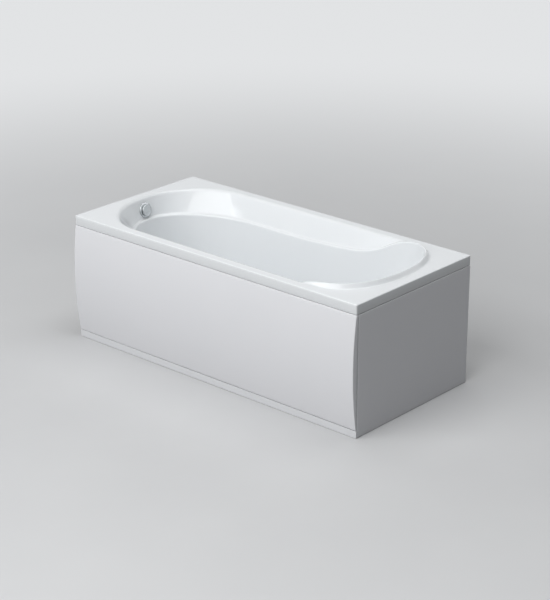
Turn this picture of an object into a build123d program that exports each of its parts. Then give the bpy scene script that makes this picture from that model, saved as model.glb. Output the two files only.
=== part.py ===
from build123d import *
import os
from math import atan2, cos, sin

# Acrylic bathtub with a bowed front panel, an end panel, a cradle on five feet, and a pop-up waste
# worked by a rotary knob on the overflow.
# +X runs along the bath from the drain to the backrest, +Y points to the wall, +Z is up.
# The origin is on the floor, under the middle of the bath. All lengths are in millimetres.

os.makedirs("parts", exist_ok=True)

# Driving sizes of the whole bath
bath_length = 1500.0
bath_width = 700.0
rim_height = 541.0
skirt_height = 40.0
acrylic_wall = 5.0
glass_wall = 4.0
floor_level = 141.0
collar_depth = 90.0

half_length = bath_length / 2
half_width = bath_width / 2
rim_underside = rim_height - acrylic_wall
skirt_bottom = rim_height - skirt_height
basin_depth = rim_height - floor_level
ledge_level = rim_height - collar_depth
full_wall = acrylic_wall + glass_wall
dry_underside = floor_level - full_wall

# Shared clearances
overrun = 10.0
fit_gap = 0.05
seam_gap = 2.0
touch_gap = 0.3


def draw_half_outline(left, left_run, left_half, swell_from, right, right_run, right_half):
    """Far half of a basin level: a drain end arc, a straight side, a swelling and a head end arc."""
    side_from = left + left_run
    side_to = right - right_run
    swell_pull = (side_to - swell_from) * swell_pull_share
    Bezier(
        (left, 0),
        (left, left_half * drain_round_share),
        (side_from - left_run * drain_round_share, left_half),
        (side_from, left_half),
    )
    Line((side_from, left_half), (swell_from, left_half))
    Bezier(
        (swell_from, left_half),
        (swell_from + swell_pull, left_half),
        (side_to - swell_pull, right_half),
        (side_to, right_half),
    )
    Bezier(
        (side_to, right_half),
        (side_to + right_run * head_round_share, right_half),
        (right, right_half * head_round_share),
        (right, 0),
    )


def loft_levels(levels, grow, ruled):
    """Solid through horizontal outlines, each grown sideways by the same amount."""
    with BuildPart() as body:
        for height, left, left_run, left_half, swell_from, right, right_run, right_half in levels:
            with BuildSketch(Plane.XY.offset(height)):
                with BuildLine():
                    draw_half_outline(
                        left - grow,
                        left_run + grow,
                        left_half + grow,
                        swell_from,
                        right + grow,
                        right_run + grow,
                        right_half + grow,
                    )
                    mirror(about=Plane.XZ)
                make_face()
        loft(ruled=ruled)
    return body.part


# Acrylic shell: opening, collar, ledge, lower dish, backrest and the raised headrest lip
drain_rim_width = 44.0
side_rim_width = 47.0
collar_run = 18.0
collar_side_run = 42.0
opening_left = drain_rim_width - half_length
opening_left_run = 256.0
opening_half = half_width - side_rim_width
opening_right = half_length - side_rim_width
opening_right_run = 203.0
ledge_left = opening_left + collar_run
ledge_left_run = 368.0
ledge_half = opening_half - collar_side_run
ledge_width = 12.0
collar_end_gap = 150.0
collar_end = half_length - collar_end_gap
collar_end_run = 120.0
climb_end_gap = 300.0
climb_from = 0
climb_to = half_length - climb_end_gap
climb_height = 95.0
climb_length_shares = (0.51, 0.755)
climb_height_shares = (0, 0.29)
drain_round_share = 0.5523
head_round_share = 0.60
swell_pull_share = 0.45
dish_bottom_round = 70.0
lip_height = 17.5
lip_lean_share = 0.85
lip_from_gap = 287.0
lip_to_gap = 200.0
lip_from = half_length - lip_from_gap
lip_to = half_length - lip_to_gap
rim_corner = 6.0
rim_edge = 4.0

# Levels of the dish, as shares of the sizes that they follow: height above its floor, left end,
# its run, half width, start of the swelling, right end, its run, half width.
dish_sizes = (
    basin_depth,
    opening_left,
    opening_left_run,
    opening_half,
    opening_right,
    opening_right,
    opening_right_run,
    opening_half,
)
dish_floor_shares = (0, 0.8881, 1.1719, 0.6601, 0.1422, 0.6259, 0.6897, 0.6766)
dish_middle_shares = (0.3975, 0.9235, 1.2891, 0.7426, 0.2134, 0.7795, 0.7291, 0.8053)
dish_rim_shares = (1, 0.9717, 1.4063, 0.8647, 0.3129, 0.9716, 0.9163, 0.9439)
dish_crest_shares = (1.05, 0.9745, 1.4141, 0.8746, 0.3129, 0.9758, 0.9212, 0.9505)
head_ledge_shares = (0.2845, 0.9104, 0.7882, 0.9175)


def sized(shares, sizes):
    """Sizes taken in the given shares."""
    return tuple(size * share for size, share in zip(sizes, shares))


dish_ledge = (
    basin_depth - collar_depth,
    ledge_left + ledge_width,
    ledge_left_run - ledge_width,
    ledge_half - ledge_width,
    *sized(head_ledge_shares, dish_sizes[4:]),
)
dish_levels = (
    sized(dish_floor_shares, dish_sizes),
    sized(dish_middle_shares, dish_sizes),
    dish_ledge,
    sized(dish_rim_shares, dish_sizes),
    sized(dish_crest_shares, dish_sizes),
)


def dish_body(grow):
    """Lower dish with its backrest, grown sideways and downwards, with a large round at its floor."""
    levels = []
    for index, (height, *plan) in enumerate(dish_levels):
        drop = grow if index == 0 else 0
        levels.append((floor_level + height - drop, *plan))
    dish = loft_levels(levels, grow, ruled=False)
    with BuildPart() as rounded:
        add(dish)
        fillet(rounded.edges().group_by(Axis.Z)[0], dish_bottom_round + grow)
    return rounded.part


def collar_body(grow):
    """Pocket between ledge and opening, grown alike. Its floor, the ledge, climbs to the rim."""
    foot = (ledge_left, ledge_left_run, ledge_half, climb_from, collar_end, collar_end_run, ledge_half)
    mouth = (
        opening_left,
        opening_left_run,
        opening_half,
        climb_from,
        collar_end,
        collar_end_run,
        opening_half,
    )
    lower_share = grow / collar_depth
    lowered = [low + (low - high) * lower_share for low, high in zip(foot, mouth)]
    pocket_floor = ledge_level - grow
    pocket = loft_levels(((pocket_floor, *lowered), (rim_height, *mouth)), grow, ruled=True)
    climb = climb_to - climb_from
    with BuildPart() as collar:
        add(pocket)
        with BuildSketch(Plane.XZ.offset(-half_width)):
            with BuildLine():
                Bezier(
                    (climb_from, pocket_floor),
                    *[
                        (climb_from + climb * along, pocket_floor + climb_height * up)
                        for along, up in zip(climb_length_shares, climb_height_shares)
                    ],
                    (climb_to, pocket_floor + climb_height),
                )
                Polyline(
                    (climb_to, pocket_floor + climb_height),
                    (climb_to, rim_height + overrun),
                    (collar_end + overrun + grow, rim_height + overrun),
                    (collar_end + overrun + grow, pocket_floor - overrun),
                    (climb_from, pocket_floor - overrun),
                    (climb_from, pocket_floor),
                )
            make_face()
        extrude(amount=bath_width, mode=Mode.SUBTRACT)
    return collar.part


def hand_over(piece, label):
    """Name a finished piece and write its file."""
    piece.label = label
    export_step(piece, f"parts/{label}.step")


inner_dish = dish_body(0)
inner_collar = collar_body(0)
shell_dish = dish_body(acrylic_wall)
shell_collar = collar_body(acrylic_wall)
backing_dish = dish_body(full_wall)
backing_collar = collar_body(full_wall)

# Places of the waste in the floor and of the overflow in the drain end of the collar
waste_setback = 270.0
waste_x = waste_setback - half_length
wall_hole = 26.0
overflow_drop = 55.0
overflow_level = rim_height - overflow_drop
collar_lean = atan2(collar_run, collar_depth)
overflow_x = opening_left + overflow_drop * collar_run / collar_depth
overflow_plane = Plane(
    origin=(overflow_x, 0, overflow_level),
    x_dir=(0, 1, 0),
    z_dir=(cos(collar_lean), 0, sin(collar_lean)),
)
outer_face = full_wall * cos(collar_lean)


with BuildPart() as wall_cores:
    with BuildSketch(Plane.XY.offset(dry_underside - overrun)):
        with Locations((waste_x, 0)):
            Circle(wall_hole)
    extrude(amount=full_wall + 2 * overrun)
    with BuildSketch(overflow_plane.offset(-outer_face - overrun)):
        Circle(wall_hole)
    extrude(amount=outer_face + 2 * overrun)

# Rim: a flat tray upside down, with a rounded top edge and a skirt all round
with BuildPart() as rim_tray:
    with BuildSketch(Plane.XY.offset(skirt_bottom)):
        RectangleRounded(bath_length, bath_width, rim_corner)
    extrude(amount=skirt_height)
    fillet(rim_tray.edges().group_by(Axis.Z)[-1], rim_edge)
    with BuildSketch(Plane.XY.offset(skirt_bottom)):
        Rectangle(bath_length - 2 * acrylic_wall, bath_width - 2 * acrylic_wall)
    extrude(amount=skirt_height - acrylic_wall, mode=Mode.SUBTRACT)

# Headrest lip: a bank with sloping sides, which rises along a slanted line to its full height
lip_lean = lip_height * lip_lean_share
lip_foot = (
    rim_height,
    opening_left,
    opening_left_run,
    opening_half,
    0,
    opening_right,
    opening_right_run,
    opening_half,
)
lip_top = (
    rim_height + lip_height,
    opening_left + lip_lean,
    opening_left_run - lip_lean,
    opening_half - lip_lean,
    0,
    opening_right - lip_lean,
    opening_right_run - lip_lean,
    opening_half - lip_lean,
)
with BuildPart() as headrest_lip:
    add(loft_levels((lip_foot, lip_top), 0, ruled=True))
    split(
        bisect_by=Plane(
            origin=(lip_from, 0, rim_height),
            x_dir=(0, 1, 0),
            z_dir=(-lip_height, 0, lip_to - lip_from),
        ),
        keep=Keep.BOTTOM,
    )

with BuildPart() as acrylic_shell:
    add(shell_dish)
    add(shell_collar)
    split(bisect_by=Plane.XY.offset(rim_height), keep=Keep.BOTTOM)
    add(rim_tray.part)
    add(headrest_lip.part)
    add(inner_dish, mode=Mode.SUBTRACT)
    add(inner_collar, mode=Mode.SUBTRACT)
    add(wall_cores.part, mode=Mode.SUBTRACT)
hand_over(acrylic_shell.part, "acrylic_shell")

# Fibreglass backing: a skin laid up on the dry side of the basin, up to the rim
with BuildPart() as fibreglass_backing:
    add(backing_dish)
    add(backing_collar)
    split(bisect_by=Plane.XY.offset(rim_underside), keep=Keep.BOTTOM)
    add(shell_dish, mode=Mode.SUBTRACT)
    add(shell_collar, mode=Mode.SUBTRACT)
    add(wall_cores.part, mode=Mode.SUBTRACT)
hand_over(fibreglass_backing.part, "fibreglass_backing")

# Timber: the base board under the floor and the battens under the rim
board_thickness = 16.0
board_drain_gap = 350.0
board_head_gap = 420.0
board_from = board_drain_gap - half_length
board_to = half_length - board_head_gap
board_width = 250.0
board_corner = 20.0
board_bottom = dry_underside - board_thickness
batten_height = 16.0
batten_width = 22.0
batten_inset = 15.0
end_batten_inset = 12.0
batten_end_gap = 50.0
side_batten_length = bath_length - 2 * batten_end_gap
end_batten_length = bath_width - 2 * batten_end_gap

# Cradle: two cross rails and a centre bracket, all of folded steel sheet
drain_rail_inset = 50.0
head_rail_inset = 40.0
drain_rail_x = board_from + drain_rail_inset
head_rail_x = board_to - head_rail_inset
rail_places = {"drain_end": drain_rail_x, "head_end": head_rail_x}
rail_end_gap = 60.0
rail_length = bath_width - 2 * rail_end_gap
rail_width = 40.0
rail_height = 25.0
sheet = 2.0
rail_screw_spread = 180.0
bracket_drop = 40.0
bracket_web = 50.0
bracket_flange = 20.0
bracket_width = 60.0

# Screws and bolts
screw_radius = 2.0
screw_bite = 12.0
head_radius = 4.5
head_height = 3.0
head_round = 1.0
slot_width = 1.2
slot_depth = 1.2

# Feet: a threaded stud between two lock nuts, standing in a plastic pad
foot_inset = 65.0
foot_side = rail_length / 2 - foot_inset
stud_radius = 5.0
stud_hole = 5.5
stud_reserve = 21.0
centre_stud_reserve = 26.0
pad_radius = 25.0
pad_base = 6.0
pad_hub_radius = 12.0
pad_height = 20.0
pad_round = 2.0
nut_across = 17.0
nut_height = 8.0

pan_head = BuildPart()
with pan_head:
    with BuildSketch(Plane.XY):
        Circle(head_radius)
    extrude(amount=-head_height)
    fillet(pan_head.edges().group_by(Axis.Z)[0], head_round)
    with BuildSketch(Plane.XY.offset(-head_height)):
        Rectangle(head_radius, slot_width)
        Rectangle(slot_width, head_radius)
    extrude(amount=slot_depth, mode=Mode.SUBTRACT)


def screw_body(length):
    """Pan-head screw that points up, with its head's seat at its origin."""
    with BuildPart() as screw:
        add(pan_head.part)
        with BuildSketch(Plane.XY):
            Circle(screw_radius)
        extrude(amount=length)
    return screw.part


# Board screws: two rows through the rails, and one pair through the centre bracket
rail_screw_places = []
for rail_x in rail_places.values():
    for side in (-1, 1):
        rail_screw_places.append((rail_x, side * rail_screw_spread / 2))
bracket_screw_offset = bracket_web / 2 + bracket_flange / 2
bracket_screw_places = [(-bracket_screw_offset, 0), (bracket_screw_offset, 0)]
board_seat = board_bottom - sheet
screw_length = sheet + screw_bite

with BuildPart() as base_board:
    with BuildSketch(Plane.XY.offset(board_bottom)):
        with Locations(((board_from + board_to) / 2, 0)):
            RectangleRounded(board_to - board_from, board_width, board_corner)
    extrude(amount=board_thickness)
    with BuildSketch(Plane.XY.offset(board_bottom)):
        with Locations(*rail_screw_places, *bracket_screw_places):
            Circle(screw_radius)
    extrude(amount=screw_bite, mode=Mode.SUBTRACT)
hand_over(base_board.part, "base_board")

with BuildPart() as board_screws:
    with Locations(*[(x, y, board_seat) for x, y in rail_screw_places + bracket_screw_places]):
        add(screw_body(screw_length))
hand_over(board_screws.part, "board_screws")

batten_centre_y = half_width - batten_inset - batten_width / 2
batten_centre_x = half_length - end_batten_inset - batten_width / 2
batten_bottom = rim_underside - batten_height
battens = {
    "front_rim_batten": (0, -batten_centre_y, side_batten_length, batten_width),
    "rear_rim_batten": (0, batten_centre_y, side_batten_length, batten_width),
    "head_rim_batten": (batten_centre_x, 0, batten_width, end_batten_length),
    "drain_rim_batten": (-batten_centre_x, 0, batten_width, end_batten_length),
}
for batten_name, (centre_x, centre_y, long_x, long_y) in battens.items():
    with BuildPart() as batten:
        with BuildSketch(Plane.XY.offset(batten_bottom)):
            with Locations((centre_x, centre_y)):
                Rectangle(long_x, long_y)
        extrude(amount=batten_height)
    hand_over(batten.part, batten_name)

# Front bracket places on the rails, shared by the rail holes and the brackets
strap_bolt_inset = 22.0
strap_bolt_y = strap_bolt_inset - rail_length / 2
rail_web = board_bottom - sheet
for rail_name, rail_x in rail_places.items():
    with BuildPart() as rail:
        with BuildSketch(Plane.XZ.offset(-rail_length / 2)):
            with Locations((rail_x, board_bottom - rail_height / 2)):
                Rectangle(rail_width, rail_height)
            with Locations((rail_x, board_bottom - sheet - (rail_height - sheet) / 2)):
                Rectangle(rail_width - 2 * sheet, rail_height - sheet, mode=Mode.SUBTRACT)
        extrude(amount=rail_length)
        with BuildSketch(Plane.XY.offset(rail_web)):
            with Locations((rail_x, -foot_side), (rail_x, foot_side)):
                Circle(stud_hole)
            with Locations(
                (rail_x, -rail_screw_spread / 2),
                (rail_x, rail_screw_spread / 2),
                (rail_x, strap_bolt_y),
            ):
                Circle(screw_radius)
        extrude(amount=sheet, mode=Mode.SUBTRACT)
    hand_over(rail.part, f"{rail_name}_cross_rail")

bracket_level = board_bottom - bracket_drop
bracket_span = bracket_web + 2 * bracket_flange
with BuildPart() as centre_bracket:
    with BuildSketch(Plane.XZ.offset(-bracket_width / 2)):
        with Locations((0, board_bottom - sheet / 2)):
            Rectangle(bracket_span, sheet)
        with Locations((0, board_bottom - bracket_drop / 2)):
            Rectangle(bracket_web, bracket_drop)
        with Locations((0, board_bottom - (bracket_drop - sheet) / 2)):
            Rectangle(bracket_web - 2 * sheet, bracket_drop - sheet, mode=Mode.SUBTRACT)
    extrude(amount=bracket_width)
    with BuildSketch(Plane.XY.offset(bracket_level)):
        Circle(stud_hole)
    extrude(amount=sheet, mode=Mode.SUBTRACT)
    with BuildSketch(Plane.XY.offset(board_seat)):
        with Locations(*bracket_screw_places):
            Circle(screw_radius)
    extrude(amount=sheet, mode=Mode.SUBTRACT)
hand_over(centre_bracket.part, "centre_foot_bracket")

# Feet: place, length of stud above its upper nut, and underside of the sheet that the nuts clamp
feet = {"centre": (0, 0, centre_stud_reserve, bracket_level)}
for rail_name, rail_x in rail_places.items():
    for side_name, side in (("front", -1), ("rear", 1)):
        feet[f"{rail_name}_{side_name}"] = (rail_x, side * foot_side, stud_reserve, rail_web)

nut_places = []
for foot_name, (foot_x, foot_y, reserve, clamped) in feet.items():
    top = clamped + sheet + nut_height + reserve
    with BuildPart() as stud:
        with BuildSketch(Plane.XY.offset(pad_base)):
            with Locations((foot_x, foot_y)):
                Circle(stud_radius)
        extrude(amount=top - pad_base)
    hand_over(stud.part, f"{foot_name}_foot_stud")
    with BuildPart() as pad:
        with BuildSketch(Plane.XY):
            with Locations((foot_x, foot_y)):
                Circle(pad_radius)
        extrude(amount=pad_base)
        fillet(pad.edges().group_by(Axis.Z)[-1], pad_round)
        with BuildSketch(Plane.XY.offset(pad_base)):
            with Locations((foot_x, foot_y)):
                Circle(pad_hub_radius)
                Circle(stud_radius, mode=Mode.SUBTRACT)
        extrude(amount=pad_height - pad_base)
    hand_over(pad.part, f"{foot_name}_foot_pad")
    nut_places.append((foot_x, foot_y, clamped - nut_height))
    nut_places.append((foot_x, foot_y, clamped + sheet))

with BuildPart() as nut:
    with BuildSketch(Plane.XY):
        RegularPolygon(nut_across / 2, side_count=6, major_radius=False)
        Circle(stud_radius + fit_gap, mode=Mode.SUBTRACT)
    extrude(amount=nut_height)
with BuildPart() as foot_lock_nuts:
    with Locations(*nut_places):
        add(nut.part)
hand_over(foot_lock_nuts.part, "foot_lock_nuts")

# Wall hooks: folded strips, screwed to the wall, which carry the rear of the rim
hook_end_gap = 300.0
hook_spread = bath_length - 2 * hook_end_gap
hook_places = (-hook_spread / 2, hook_spread / 2)
hook_sheet = 2.5
hook_width = 50.0
hook_drop = 71.0
hook_bottom = skirt_bottom - hook_drop
hook_fold = 10.0
hook_screw_rise = 25.0
hook_screw_level = hook_bottom + hook_screw_rise
hook_screw_hole = 2.5
hook_top_gap = 3.0
hook_face = skirt_bottom - hook_top_gap
with BuildPart() as wall_hooks:
    for hook_x in hook_places:
        with BuildSketch(Plane.YZ.offset(hook_x - hook_width / 2)):
            with BuildLine():
                Polyline(
                    (half_width, hook_bottom),
                    (half_width, hook_face),
                    (half_width - hook_fold + hook_sheet, hook_face),
                    (half_width - hook_fold + hook_sheet, rim_underside),
                    (half_width - hook_fold, rim_underside),
                    (half_width - hook_fold, hook_face - hook_sheet),
                    (half_width - hook_sheet, hook_face - hook_sheet),
                    (half_width - hook_sheet, hook_bottom),
                    close=True,
                )
            make_face()
        extrude(amount=hook_width)
        with BuildSketch(Plane.XZ.offset(-half_width)):
            with Locations((hook_x, hook_screw_level)):
                Circle(hook_screw_hole)
        extrude(amount=hook_sheet, mode=Mode.SUBTRACT)
hand_over(wall_hooks.part, "wall_hooks")

# Front panel: a thermoformed tray, bowed outwards, with flanges turned in on all four sides
panel_top = skirt_bottom - seam_gap
panel_bottom = 33.0
panel_wall = 4.0
panel_end_gap = 0.5
panel_flange = 13.0
panel_foot_inset = 5.5
panel_bow = 15.5
panel_bow_share = 0.53
panel_back = panel_flange - half_width
panel_top_face = panel_end_gap - half_width
panel_foot_face = panel_foot_inset - half_width
panel_bow_face = -half_width - panel_bow
panel_bow_level = panel_bottom + (panel_top - panel_bottom) * panel_bow_share
panel_edge_round = 3.0
panel_length = bath_length - 2 * panel_end_gap


def panel_profile(inset, back):
    """Cross-section of the bowed panel, with its face, top and bottom set in by one amount."""
    Polyline(
        (panel_top_face + inset, panel_top - inset),
        (back, panel_top - inset),
        (back, panel_bottom + inset),
        (panel_foot_face + inset, panel_bottom + inset),
    )
    ThreePointArc(
        (panel_foot_face + inset, panel_bottom + inset),
        (panel_bow_face + inset, panel_bow_level),
        (panel_top_face + inset, panel_top - inset),
    )


with BuildPart() as front_panel:
    with BuildSketch(Plane.YZ.offset(-panel_length / 2)):
        with BuildLine():
            panel_profile(0, panel_back)
        make_face()
    extrude(amount=panel_length)
    bowed_ends = front_panel.edges().filter_by(GeomType.CIRCLE)
    fillet(bowed_ends, panel_edge_round)
    with BuildSketch(Plane.YZ.offset(panel_wall - panel_length / 2)):
        with BuildLine():
            panel_profile(panel_wall, panel_back + overrun)
        make_face()
    extrude(amount=panel_length - 2 * panel_wall, mode=Mode.SUBTRACT)
hand_over(front_panel.part, "front_panel")

# End panel: a flat tray from the seam under the rim to just above the floor
floor_gap = 1.0
end_panel_depth = 18.0
panel_joint = 1.0
end_panel_front = panel_back + panel_joint
end_panel_rear = half_width - panel_end_gap
end_panel_centre = (end_panel_front + end_panel_rear) / 2
end_panel_width = end_panel_rear - end_panel_front
end_panel_level = (panel_top + floor_gap) / 2
end_panel_height = panel_top - floor_gap
end_panel_round = 2.0
with BuildPart() as end_panel:
    with BuildSketch(Plane.YZ.offset(half_length)):
        with Locations((end_panel_centre, end_panel_level)):
            Rectangle(end_panel_width, end_panel_height)
    extrude(amount=-end_panel_depth)
    fillet(end_panel.edges().group_by(Axis.X)[-1].filter_by(Axis.Z), end_panel_round)
    with BuildSketch(Plane.YZ.offset(half_length - panel_wall)):
        with Locations((end_panel_centre, end_panel_level)):
            Rectangle(end_panel_width - 2 * panel_wall, end_panel_height - 2 * panel_wall)
    extrude(amount=-end_panel_depth, mode=Mode.SUBTRACT)
hand_over(end_panel.part, "end_panel")

# Plinth strip: a channel under the front panel, which hangs on the straps clear of the floor
plinth_top = 30.0
plinth_inset = 8.0
plinth_face = plinth_inset - half_width
plinth_depth = 14.0
plinth_wall = 2.5
plinth_notch = end_panel_depth + panel_joint
plinth_level = (plinth_top + floor_gap) / 2
plinth_height = plinth_top - floor_gap
with BuildPart() as plinth_strip:
    with BuildSketch(Plane.YZ.offset(-half_length)):
        with Locations((plinth_face + plinth_depth / 2, plinth_level)):
            Rectangle(plinth_depth, plinth_height)
        with Locations((plinth_face + plinth_wall + plinth_depth / 2, plinth_level)):
            Rectangle(plinth_depth, plinth_height - 2 * plinth_wall, mode=Mode.SUBTRACT)
    extrude(amount=bath_length)
    with BuildSketch(Plane.XY):
        with Locations((half_length, end_panel_front - touch_gap)):
            Rectangle(2 * plinth_notch, plinth_depth, align=(Align.CENTER, Align.MIN))
    extrude(amount=plinth_top, mode=Mode.SUBTRACT)
hand_over(plinth_strip.part, "plinth_strip")

# Top clips: moulded blocks screwed under the battens, which grip the panels' top flanges
clip_length = 40.0
clip_tongue = 11.0
clip_tongue_wall = 3.0
clip_lip = 2.5
clip_end_gap = 150.0
front_clip_spacing = half_length - clip_end_gap
end_clip_spread = bath_width - 2 * clip_end_gap
front_clip_places = (-front_clip_spacing, 0, front_clip_spacing)
end_clip_places = (-end_clip_spread / 2, end_clip_spread / 2)


def clip_body(plane, flange_depth, inset):
    """Clip in its own upright plane, with the skirt's outer face at zero and outwards positive."""
    inner = -inset - batten_width
    tongue_face = -flange_depth - touch_gap
    with BuildPart() as clip:
        with BuildSketch(plane):
            with BuildLine():
                Polyline(
                    (inner, batten_bottom),
                    (inner, panel_top),
                    (tongue_face - clip_tongue_wall, panel_top),
                    (tongue_face - clip_tongue_wall, panel_top - clip_tongue),
                    (tongue_face, panel_top - clip_tongue),
                    (tongue_face, panel_top),
                    (-acrylic_wall - touch_gap, panel_top),
                    (-acrylic_wall - touch_gap, panel_top + clip_lip),
                    (-inset, panel_top + clip_lip),
                    (-inset, batten_bottom),
                    close=True,
                )
            make_face()
        extrude(amount=clip_length / 2, both=True)
    return clip.part


clip_bodies = []
for clip_x in front_clip_places:
    front_clip_plane = Plane(origin=(clip_x, -half_width, 0), x_dir=(0, -1, 0), z_dir=(-1, 0, 0))
    clip_bodies.append(clip_body(front_clip_plane, half_width + panel_back, batten_inset))
for clip_y in end_clip_places:
    end_clip_plane = Plane(origin=(half_length, clip_y, 0), x_dir=(1, 0, 0), z_dir=(0, -1, 0))
    clip_bodies.append(clip_body(end_clip_plane, end_panel_depth, end_batten_inset))
with BuildPart() as panel_clips:
    for body in clip_bodies:
        add(body)
hand_over(panel_clips.part, "panel_clips")

# Lower straps: folded steel, bolted to the rails, which back the panel and carry the plinth
strap_width = 30.0
strap_sheet = 3.0
strap_foot = 40.0
strap_heel = strap_foot - rail_length / 2
strap_face = panel_back + touch_gap
with BuildPart() as lower_panel_straps:
    for rail_x in rail_places.values():
        with BuildSketch(Plane.YZ.offset(rail_x - strap_width / 2)):
            with BuildLine():
                Polyline(
                    (strap_heel, board_bottom),
                    (strap_heel, board_bottom + strap_sheet),
                    (strap_face, board_bottom + strap_sheet),
                    (strap_face, plinth_top),
                    (strap_face + strap_sheet, plinth_top),
                    (strap_face + strap_sheet, board_bottom),
                    close=True,
                )
            make_face()
        extrude(amount=strap_width)
        with BuildSketch(Plane.XY.offset(board_bottom)):
            with Locations((rail_x, strap_bolt_y)):
                Circle(screw_radius)
        extrude(amount=strap_sheet, mode=Mode.SUBTRACT)
hand_over(lower_panel_straps.part, "lower_panel_straps")

with BuildPart() as turned_screw:
    add(screw_body(strap_sheet + sheet + strap_sheet).rotate(Axis.X, 180))
with BuildPart() as strap_bolts:
    with Locations(*[(rail_x, strap_bolt_y, board_bottom + strap_sheet) for rail_x in rail_places.values()]):
        add(turned_screw.part)
hand_over(strap_bolts.part, "strap_bolts")

# Overflow set: body behind the collar wall, face ring and rotary knob in front of it
body_gasket = 3.0
ring_standoff = 2.8
ring_radius = 33.5
ring_height = 4.5
ring_round = 2.5
spigot_radius = 22.0
spigot_bore = 19.0
spigot_reach = 5.0
flange_radius = 30.0
flange_height = 4.0
cup_radius = 26.0
cup_back = 36.0
cup_wall = 4.0
boss_radius = 9.0
boss_reach = 14.0
knob_radius = 25.0
knob_height = 6.0
knob_standoff = 9.0
knob_round = 2.0
knob_stem = 6.0
stem_end_gap = 2.0
pipe_radius = 12.0
pipe_wall = 2.0
stub_radius = 15.0
stub_setback = 25.5
stub_x = overflow_x - stub_setback
stub_drop = 46.0
stub_bottom = overflow_level - stub_drop
stub_grip = 12.0
slip_nut_radius = 19.0
slip_nut_above = 8.0
slip_nut_below = 6.0
cable_radius = 3.0
cable_setback = 27.0
cable_x = overflow_x - cable_setback
cable_y = 30.0
cable_box_drop = 18.0
cable_box_bottom = overflow_level - cable_box_drop
cable_box_height = 24.0
cable_box_length = 24.0
cable_box_width = 20.0
cable_boss_radius = 5.5
cable_boss_length = 12.0
cable_top = cable_box_bottom - cable_boss_length

gasket_face = -outer_face
flange_face = gasket_face - body_gasket
flange_back = flange_face - flange_height

with BuildPart() as overflow_gasket:
    with BuildSketch(overflow_plane.offset(flange_face)):
        Circle(flange_radius)
        Circle(spigot_radius, mode=Mode.SUBTRACT)
    extrude(amount=body_gasket)
hand_over(overflow_gasket.part, "overflow_gasket")

with BuildPart() as overflow_body:
    with BuildSketch(overflow_plane.offset(flange_back)):
        Circle(flange_radius)
    extrude(amount=flange_height)
    with BuildSketch(overflow_plane.offset(-cup_back)):
        Circle(cup_radius)
    extrude(amount=cup_back + flange_back)
    with BuildSketch(overflow_plane.offset(flange_face)):
        Circle(spigot_radius)
    extrude(amount=spigot_reach - flange_face)
    with BuildSketch(Plane.XY.offset(stub_bottom)):
        with Locations((stub_x, 0)):
            Circle(stub_radius)
    extrude(amount=overflow_level - stub_radius - stub_bottom)
    with BuildSketch(Plane.XY.offset(cable_box_bottom)):
        with Locations((cable_x, cable_y - cable_boss_radius)):
            Rectangle(cable_box_length, cable_box_width)
    extrude(amount=cable_box_height)
    with BuildSketch(Plane.XY.offset(cable_top)):
        with Locations((cable_x, cable_y)):
            Circle(cable_boss_radius)
    extrude(amount=cable_box_bottom - cable_top)
    with BuildSketch(Plane.XY.offset(cable_top)):
        with Locations((cable_x, cable_y)):
            Circle(cable_radius)
    extrude(amount=cable_box_bottom - cable_top, mode=Mode.SUBTRACT)
    with BuildSketch(overflow_plane.offset(cup_wall - cup_back)):
        Circle(spigot_bore)
    extrude(amount=cup_back + spigot_reach, mode=Mode.SUBTRACT)
    with BuildSketch(Plane.XY.offset(stub_bottom)):
        with Locations((stub_x, 0)):
            Circle(pipe_radius)
    extrude(amount=overflow_level - boss_radius - stub_radius - stub_bottom, mode=Mode.SUBTRACT)
    with BuildSketch(overflow_plane.offset(-cup_back)):
        Circle(boss_radius)
    extrude(amount=cup_back - boss_reach)
    with BuildSketch(overflow_plane.offset(cup_wall - cup_back)):
        Circle(knob_stem + fit_gap)
    extrude(amount=cup_back, mode=Mode.SUBTRACT)
hand_over(overflow_body.part, "overflow_body")

with BuildPart() as overflow_ring:
    with BuildSketch(overflow_plane.offset(ring_standoff)):
        Circle(ring_radius)
    extrude(amount=ring_height)
    fillet(overflow_ring.edges().sort_by(Axis(overflow_plane.origin, overflow_plane.z_dir))[-1], ring_round)
    with BuildSketch(overflow_plane):
        Circle(spigot_radius)
    extrude(amount=ring_radius, mode=Mode.SUBTRACT)
hand_over(overflow_ring.part, "overflow_ring")

with BuildPart() as control_knob:
    with BuildSketch(overflow_plane.offset(knob_standoff)):
        Circle(knob_radius)
    extrude(amount=knob_height)
    fillet(control_knob.edges(), knob_round)
    with BuildSketch(overflow_plane.offset(cup_wall + stem_end_gap - cup_back)):
        Circle(knob_stem)
    extrude(amount=cup_back + knob_standoff - cup_wall - stem_end_gap)
hand_over(control_knob.part, "control_knob")

# Waste set: flange and pop-up plug in the floor, body, trap and outlet pipe below it
seal_height = 1.5
lower_seal_height = 3.0
seal_radius = 33.0
waste_radius = 35.0
waste_height = 3.0
waste_round = 1.5
tail_radius = 22.0
tail_bore = 19.0
tail_drop = 21.0
tail_bottom = floor_level - tail_drop
body_flange = 4.0
body_radius = 27.0
body_drop = 53.0
body_bottom = floor_level - body_drop
body_wall = 4.0
chamber_radius = 23.0
outlet_bore = 17.5
outlet_radius = 20.0
neck_length = 16.0
neck_bottom = body_bottom - neck_length
port_rise = 20.0
port_level = body_bottom + port_rise
port_radius = 15.0
port_reach = 22.0
guide_bar = 5.0
guide_rise = 8.0
guide_bottom = body_bottom + guide_rise
guide_height = 6.0
guide_radius = 7.0
cable_port_radius = 6.0
cable_port_reach = 35.0
cable_port_rise = 22.0
cable_level = body_bottom + cable_port_rise
cable_angle = 135.0
cable_bend_reach = 137.0
cable_bend_radius = 60.0
plug_radius = 30.0
plug_height = 4.0
plug_round = 2.0
plug_seal_inner = 20.0
plug_seal_outer = 24.0
plug_seal_height = 1.2
plug_nose = 18.7
plug_nose_height = 6.0
stem_radius = 4.0
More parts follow.
